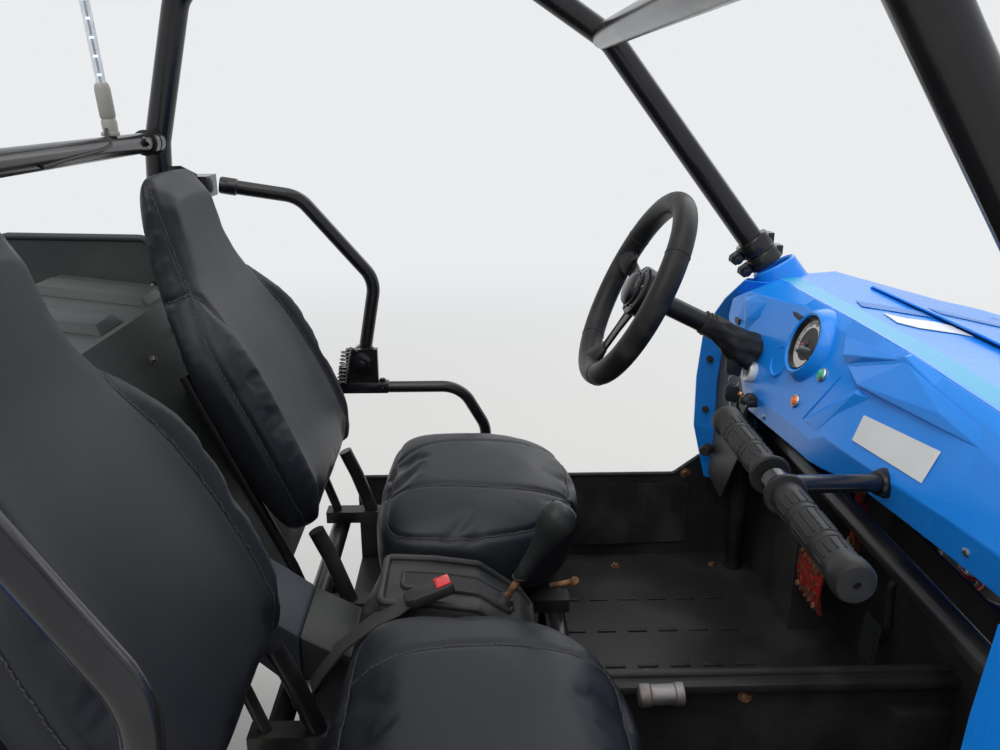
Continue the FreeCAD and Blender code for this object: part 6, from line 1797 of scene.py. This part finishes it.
class UTV_OT_body(Operator):
    """Rib the cargo box, roll the fenders' edges and set the lamps"""

    bl_idname = "utv.body"
    bl_label = "Body"

    def execute(self, context):
        self.cargo()
        self.fenders()
        self.lamps()
        self.floor()
        return {"FINISHED"}

    def cargo(self):
        shape = Shape()
        rear = Vector((-0.752, 0, 0.9245))
        front = Vector((-0.568, 0, 0.9015))
        for index in range(5):
            y = -0.34 + 0.17 * index
            run = [rear, rear.lerp(front, 0.06), rear.lerp(front, 0.94), front]
            rows = []
            for place, rise, half in zip(run, (0.0, 0.012, 0.012, 0.0), (0.034, 0.03, 0.03, 0.034)):
                at = place + Vector((0, y, 0))
                rows.append([at + Vector((0, -half - 0.012, 0)), at + Vector((0, -half, rise)),
                    at + Vector((0, half, rise)), at + Vector((0, half + 0.012, 0))])
            shape.sheet(rows, (0, 0, 1), 0.003, 0.0025)
        for side in (-1, 1):
            y = side * 0.4675
            shape.pipe([(-1.128, y, 0.922), (-0.85, y, 0.986), (-0.614, y, 0.981), (-0.614, y, 0.908)],
                0.0065, 0.02)
            for index in range(4):
                x = -1.06 + 0.12 * index
                shape.box((x - 0.012, y - 0.006, 0.76), (x + 0.012, y + 0.006, 0.9), 0.003)
        shape.pipe([(-1.1275, -0.466, 0.921), (-1.1275, 0.466, 0.921)], 0.0065)
        shape.paint(1)
        out = Vector((0.92, 0, 0.39))
        for y in (-0.3, -0.1, 0.1, 0.3):
            rows = []
            for share, rise in ((0.04, 0.0), (0.12, 0.01), (0.88, 0.01), (0.96, 0.0)):
                foot = Vector((-0.512, y, 0.8)).lerp(Vector((-0.372, y, 0.47)), share)
                edge = ((-0.05, 0.001), (-0.038, rise), (0.038, rise), (0.05, 0.001))
                rows.append([foot + Vector((0, half, 0)) + out * lift for half, lift in edge])
            shape.sheet(rows, (1, 0, 0.4), 0.003, 0.0025)
        shape.paint(2)
        for y in (-0.4, -0.2, 0.0, 0.2, 0.4):
            shape.bolt((-0.531, y, 0.846), (0.9, 0, 0.42), 0.006)
        shape.paint(3).box((-1.01, 0.4615, 0.88), (-0.985, 0.4645, 0.905), 0.0005)
        # Near-black square on the bulkhead: painted shade of a bolt slot
        shape.paint(4).box((-0.548, 0.33, 0.846), (-0.532, 0.352, 0.862), 0.002)
        shape.piece("cargo_box_ribs", ["grey_plastic", "black_plastic", "dull_steel", "white_paint",
            "seam"])

    def fenders(self):
        front = [(0.592, 0.52), (0.61, 0.59), (0.69, 0.625), (0.93, 0.625), (1.07, 0.59), (1.13, 0.52)]
        rear = [(-1.17, 0.545), (-1.11, 0.615), (-0.78, 0.64), (-0.7, 0.622), (-0.676, 0.56)]
        for name, line, inner in (("fenders_front", front, 0.33), ("fenders_rear", rear, 0.316)):
            shape = Shape()
            middle = (line[0][0] + line[-1][0]) / 2
            rows = []
            for x, z in line:
                lean = (middle - x) * 0.03
                rows.append([(x, inner, z), (x, 0.42, z + 0.001), (x, 0.436, z - 0.004),
                    (x, 0.56, z - 0.004), (x, 0.578, z), (x, 0.618, z - 0.001),
                    (x + lean * 0.3, 0.629, z - 0.006), (x + lean, 0.632, z - 0.02)])
            shape.sheet(rows, (0, 0, 1), 0.005, 0.004)
            if name == "fenders_rear":
                shape.plate([(-1.11, inner, 0.6), (-1.11, inner, 0.74), (-0.705, inner, 0.74),
                    (-0.705, inner, 0.575), (-0.89, inner, 0.575)], (0, 1, 0), 0.005, bevel=0.0015)
            shape.paint(1)
            for x, z in line[1:-1]:
                shape.bolt((x, inner + 0.022, z + 0.0005), (0, 0, 1), 0.006)
            shape.mirrored_too()
            shape.piece(f"{name}_rolled", ["blue_plastic", "dull_steel"], slot="blue_plastic",
                replaces=(name,))

    def lamps(self):
        shape = Shape()
        shape.sheet([[(1.148, y, 0.63), (1.1495, y, 0.649), (1.148, y, 0.666)]
            for y in (0.094, 0.13, 0.166)], (1, 0, 0), 0.003, 0.002)
        bowl = [(0.018, 0.03), (0.0175, 0.02), (0.013, 0.006), (0.006, 0.001), (0.006, 0.0), (0.019, 0.0),
            (0.019, 0.03)]
        for y in (0.112, 0.15):
            shape.paint(1).lathe(bowl, (1.106, y, 0.648), (1, 0, 0), steps=36)
            shape.paint(2).ball((1.12, y, 0.648), 0.0055)
        shape.paint(3).box((1.1, 0.092, 0.628), (1.106, 0.168, 0.668), 0.002)
        for low, high in (((1.106, 0.092, 0.628), (1.146, 0.168, 0.631)),
                ((1.106, 0.092, 0.665), (1.146, 0.168, 0.668)),
                ((1.106, 0.092, 0.631), (1.146, 0.095, 0.665)),
                ((1.106, 0.165, 0.631), (1.146, 0.168, 0.665))):
            shape.box(low, high, 0.0008)
        shape.mirrored_too()
        shape.piece("headlamp_units", ["lamp_lens", "lamp_bowl", "white_paint", "black_plastic"],
            slot="lamp_lens", replaces=("headlamps",))
        shape = Shape()
        shape.box((-1.142, 0.33, 0.79), (-1.13, 0.42, 0.84), 0.003)
        shape.paint(1).box((-1.155, 0.334, 0.794), (-1.14, 0.416, 0.836), 0.005, 3)
        for index in range(7):
            y = 0.342 + 0.011 * index
            shape.box((-1.1555, y, 0.798), (-1.1535, y + 0.0045, 0.832), 0.0008)
        shape.paint(2)
        for y in (0.338, 0.412):
            shape.lathe([(0, 0.0012), (0.0022, 0.001), (0.003, 0), (0, 0)], (-1.1548, y, 0.815), (-1, 0, 0),
                steps=16)
        shape.mirrored_too()
        shape.piece("tail_lamp_units", ["black_plastic", "red_lens", "dull_steel"], slot="red_lens",
            replaces=("tail_lamps",))

    def floor(self):
        """Flap on the far sill, the sills' edges, the rib's rim and bolts, the treads and small parts."""
        shape = Shape()
        rows = []
        for z, sway in ((0.462, 0.0), (0.43, 0.004), (0.38, 0.002), (0.33, 0.008)):
            rows.append([(0.095 + 0.005 * sin(z * 40), 0.566, z), (0.18, 0.565 - sway, z),
                (0.28, 0.566 - sway * 0.5, z), (0.372 - 0.006 * sway, 0.566, z)])
        shape.sheet(rows, (0, -1, 0), 0.003)
        shape.paint(1)
        for side in (-1, 1):
            shape.pipe([(-0.29, side * 0.5725, 0.4815), (0.34, side * 0.5725, 0.4815),
                (0.392, side * 0.5725, 0.521)], 0.0045, 0.02)
        shape.pipe([(0.078, -0.039, 0.4675), (0.588, -0.039, 0.4675)], 0.0065)
        shape.box((0.078, -0.066, 0.455), (0.588, -0.049, 0.468), 0.003)
        shape.box((0.5, -0.07, 0.3), (0.588, -0.012, 0.42), 0.006)
        shape.paint(2)
        for x in (0.115, 0.3):
            shape.bolt((x, -0.0505, 0.44), (0, -1, 0), 0.009)
        shape.bolt((0.364, 0.57, 0.484), (0, -1, 0), 0.009)
        shape.bolt((0.402, 0.57, 0.506), (0, -1, 0), 0.007)
        for x in (-0.22, 0.02, 0.22, 0.42):
            for y in (-0.52, -0.18, 0.18, 0.52):
                shape.bolt((x, y, 0.3), (0, 0, 1), 0.007)
        shape.paint(3)
        for index in range(9):
            for y in (-0.44, -0.34, -0.24, -0.14, 0.1, 0.2, 0.3, 0.4):
                x = -0.05 + 0.055 * index
                shape.box((x - 0.017, y - 0.0035, 0.2995), (x + 0.017, y + 0.0035, 0.3025), 0.001)
        shape.paint(4).lathe([(0, 0), (0.0135, 0), (0.015, 0.002), (0.015, 0.014), (0.0135, 0.016),
            (0.0135, 0.046), (0.015, 0.048), (0.015, 0.058), (0.01, 0.06), (0, 0.06)],
            (0.148, -0.082, 0.468), (1, 0, 0.03), steps=32)
        shape.paint(2)
        shape.rod((0.046, 0.078, 0.534), (0.076, 0.067, 0.547), 0.0042)
        shape.ball((0.079, 0.066, 0.548), 0.007)
        shape.piece("floor_fittings", ["dusty_plastic", "black_plastic", "rusty_steel", "black_plastic",
            "dull_steel"])


class UTV_OT_running(Operator):
    """Wind the springs, nut the wheels and dress the engine and the muffler"""

    bl_idname = "utv.running"
    bl_label = "Running gear"

    SHOCKS = [
        # lower end, upper end, pins' direction
        ((0.81, 0.372, 0.2186), (0.81, 0.225, 0.56), (1, 0, 0)),
        ((-0.9, 0.064, 0.34), (-0.84, 0.064, 0.6), (0, 1, 0)),
    ]

    def execute(self, context):
        self.shocks()
        self.wheels()
        self.engine()
        self.muffler()
        return {"FINISHED"}

    def shocks(self):
        shape = Shape()
        for low, high, pin in self.SHOCKS:
            low = Vector(low)
            high = Vector(high)
            along = high - low
            unit = along.normalized()
            length = along.length
            shape.paint(0).coil(low + along * 0.19, low + along * 0.85, 0.0222, 0.0036, 7.5)
            shape.paint(1).lathe([(0, 0.014), (0.0095, 0.014), (0.0095, 0.16 * length),
                (0.0255, 0.165 * length), (0.0258, 0.175 * length), (0.014, 0.2 * length),
                (0.014, 0.52 * length), (0.012, 0.53 * length), (0, 0.53 * length)], low, unit, steps=32)
            shape.lathe([(0.0045, 0.86 * length), (0.0255, 0.865 * length), (0.0255, 0.885 * length),
                (0.012, 0.9 * length), (0.0085, length - 0.014), (0, length - 0.014)], low, unit, steps=32)
            shape.paint(2).rod(low + unit * 0.5 * length, low + unit * 0.9 * length, 0.0058)
            for end in (low, high):
                shape.paint(1).lathe([(0.0062, -0.01), (0.013, -0.01), (0.014, -0.008), (0.014, 0.008),
                    (0.013, 0.01), (0.0062, 0.01)], end, pin, steps=28)
        shape.mirrored_too()
        shape.piece("shock_absorbers_sprung", ["spring_paint", "black_plastic", "bright_steel"],
            slot="spring_paint", replaces=("shock_absorbers",))

    def wheels(self):
        rows = [
            # body, axle's x, side, axle's z, disc's y, tyre's middle y, tyre's half width
            ("wheel_front_left", 0.81, 1, 0.255, 0.5709, 0.546, 0.089),
            ("wheel_front_right", 0.81, -1, 0.255, 0.5709, 0.546, 0.089),
            ("rear_axle", -0.89, 1, 0.265, 0.5436, 0.508, 0.127),
            ("rear_axle", -0.89, -1, 0.265, 0.5436, 0.508, 0.127),
        ]
        for body, x, side, z, disc, middle, half in rows:
            shape = Shape()
            out = Vector((0, side, 0))
            hub = Vector((x, side * (disc + 0.005), z))
            shape.lathe([(0, 0.03), (0.02, 0.03), (0.027, 0.027), (0.029, 0.02), (0.031, 0.002),
                (0.044, 0.0005), (0, 0.0005)], hub, out, steps=40)
            for turn in range(4):
                angle = radians(90 * turn)
                at = hub + Vector((0.05 * cos(angle), 0, 0.05 * sin(angle)))
                shape.paint(1).bolt(at, out, 0.01)
            shape.paint(2)
            lip = Vector((x, side * (middle + half * 0.8), z))
            shape.lathe([(0.118, -0.01), (0.12, -0.002), (0.1265, 0.0), (0.13, 0.003), (0.129, 0.006),
                (0.122, 0.004), (0.116, -0.004)], lip, out, steps=72)
            shape.lathe([(0.094, 0.0), (0.098, 0.004), (0.104, 0.005), (0.11, 0.002), (0.112, -0.001)],
                Vector((x, side * (disc + 0.0045), z)), out, steps=64)
            shape.rod(lip - out * 0.01 + Vector((0.112, 0, 0)), lip + out * 0.01 + Vector((0.108, 0, 0)),
                0.004)
            name = "left" if side > 0 else "right"
            end = "front" if x > 0 else "rear"
            shape.piece(f"wheel_trim_{end}_{name}", ["dull_steel", "bright_steel", "rim_paint"], body=body)

    def engine(self):
        low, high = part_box("engine")
        size = high - low
        shape = Shape()

        def inside(x, y, z):
            return Vector((low.x + size.x * x, low.y + size.y * y, low.z + size.z * z))

        shape.box(inside(0.0, 0.1, 0.0), inside(1.0, 0.9, 0.46), 0.014, 3)
        shape.box(inside(0.12, 0.03, 0.04), inside(0.88, 0.12, 0.42), 0.012, 3)
        shape.box(inside(0.2, 0.88, 0.06), inside(0.98, 0.97, 0.44), 0.012, 3)
        shape.rod(inside(0.4, 0.005, 0.24), inside(0.4, 0.1, 0.24), 0.062, bevel=0.006, sides=48)
        shape.rod(inside(0.66, 0.9, 0.24), inside(0.66, 0.995, 0.24), 0.07, bevel=0.006, sides=48)
        shape.box(inside(0.22, 0.26, 0.44), inside(0.8, 0.74, 0.86), 0.008)
        for index in range(9):
            z = 0.49 + 0.04 * index
            shape.box(inside(0.12, 0.16, z), inside(0.9, 0.84, z + 0.012), 0.0015)
        shape.box(inside(0.16, 0.2, 0.86), inside(0.86, 0.8, 0.965), 0.01, 3)
        shape.box(inside(0.24, 0.28, 0.96), inside(0.78, 0.72, 1.0), 0.006, 3)
        for x in (0.22, 0.8):
            for y in (0.26, 0.5, 0.74):
                shape.paint(1).bolt(inside(x, y, 0.963), (0, 0, 1), 0.008)
        for angle in range(0, 360, 45):
            reach = Vector((0.052 * cos(radians(angle)), 0, 0.052 * sin(radians(angle))))
            shape.bolt(inside(0.4, 0.0, 0.24) + reach + Vector((0, 0.001, 0)), (0, -1, 0), 0.005)
            shape.bolt(inside(0.66, 1.0, 0.24) + reach * 1.1, (0, 1, 0), 0.005)
        shape.paint(2)
        shape.box(inside(0.02, 0.3, 0.6), inside(0.16, 0.62, 0.84), 0.008)
        shape.pipe([inside(0.14, 0.46, 0.72), inside(0.05, 0.46, 0.72), inside(0.03, 0.3, 0.5),
            inside(0.03, 0.12, 0.44)], 0.014, 0.03)
        shape.pipe([inside(0.6, 0.5, 0.9), inside(0.6, 0.1, 0.92), inside(0.8, 0.06, 0.6)], 0.0035, 0.02)
        shape.piece("engine_block", ["cast_metal", "dull_steel", "black_plastic"], slot="cast_metal",
            replaces=("engine",))

    def muffler(self):
        low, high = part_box("muffler")
        middle = (low + high) / 2
        radius = (high.z - low.z) / 2
        length = high.x - low.x
        shape = Shape()
        start = Vector((low.x, middle.y, middle.z))
        shape.lathe([(0, 0.012), (radius * 0.55, 0.01), (radius * 0.9, 0.004), (radius * 0.97, 0.0),
            (radius, 0.004), (radius, 0.01), (radius * 0.965, 0.016), (radius * 0.965, length - 0.016),
            (radius, length - 0.01), (radius, length - 0.004), (radius * 0.97, length),
            (radius * 0.9, length - 0.004), (radius * 0.5, length - 0.012), (0, length - 0.014)], start,
            (1, 0, 0), steps=64)
        shape.paint(1)
        for share in (0.28, 0.72):
            shape.lathe([(radius * 0.955, -0.011), (radius * 0.99, -0.011), (radius * 0.99, 0.011),
                (radius * 0.955, 0.011)], start + Vector((length * share, 0, 0)), (1, 0, 0), steps=64)
        shape.lathe([(0.015, -0.001), (0.017, -0.001), (0.017, 0.03), (0.015, 0.03)], start, (1, 0, 0),
            steps=32)
        shape.piece("muffler_can", ["muffler_steel", "dull_steel"], slot="muffler_steel",
            replaces=("muffler",))


class UTV_PT_panel(Panel):
    """Lists the makers in the sidebar"""

    bl_idname = "UTV_PT_panel"
    bl_label = "Utility vehicle"
    bl_space_type = "VIEW_3D"
    bl_region_type = "UI"
    bl_category = "Utility vehicle"

    def draw(self, context):
        for maker in MAKERS:
            self.layout.operator(maker.bl_idname)


SETTINGS = {
    "utv_stage": StageSettings, "utv_finishes": FinishSettings, "utv_seats": SeatSettings,
    "utv_dash": DashSettings, "utv_tyres": TyreSettings, "utv_steering": SteeringSettings,
}
MAKERS = [UTV_OT_stage, UTV_OT_finishes, UTV_OT_seats, UTV_OT_dash, UTV_OT_hood, UTV_OT_tyres,
    UTV_OT_steering, UTV_OT_instruments, UTV_OT_handle, UTV_OT_pedals, UTV_OT_console, UTV_OT_fittings,
    UTV_OT_body, UTV_OT_running]


CLASSES = [*SETTINGS.values(), *MAKERS, UTV_PT_panel]


def register():
    for each in CLASSES:
        bpy.utils.register_class(each)
    for name, settings in SETTINGS.items():
        setattr(bpy.types.Scene, name, PointerProperty(type=settings))


def unregister():
    for name in SETTINGS:
        delattr(bpy.types.Scene, name)
    for each in reversed(CLASSES):
        bpy.utils.unregister_class(each)


def main():
    register()
    for maker in MAKERS:
        group, name = maker.bl_idname.split(".")
        getattr(getattr(bpy.ops, group), name)()


if __name__ == "__main__":
    main()
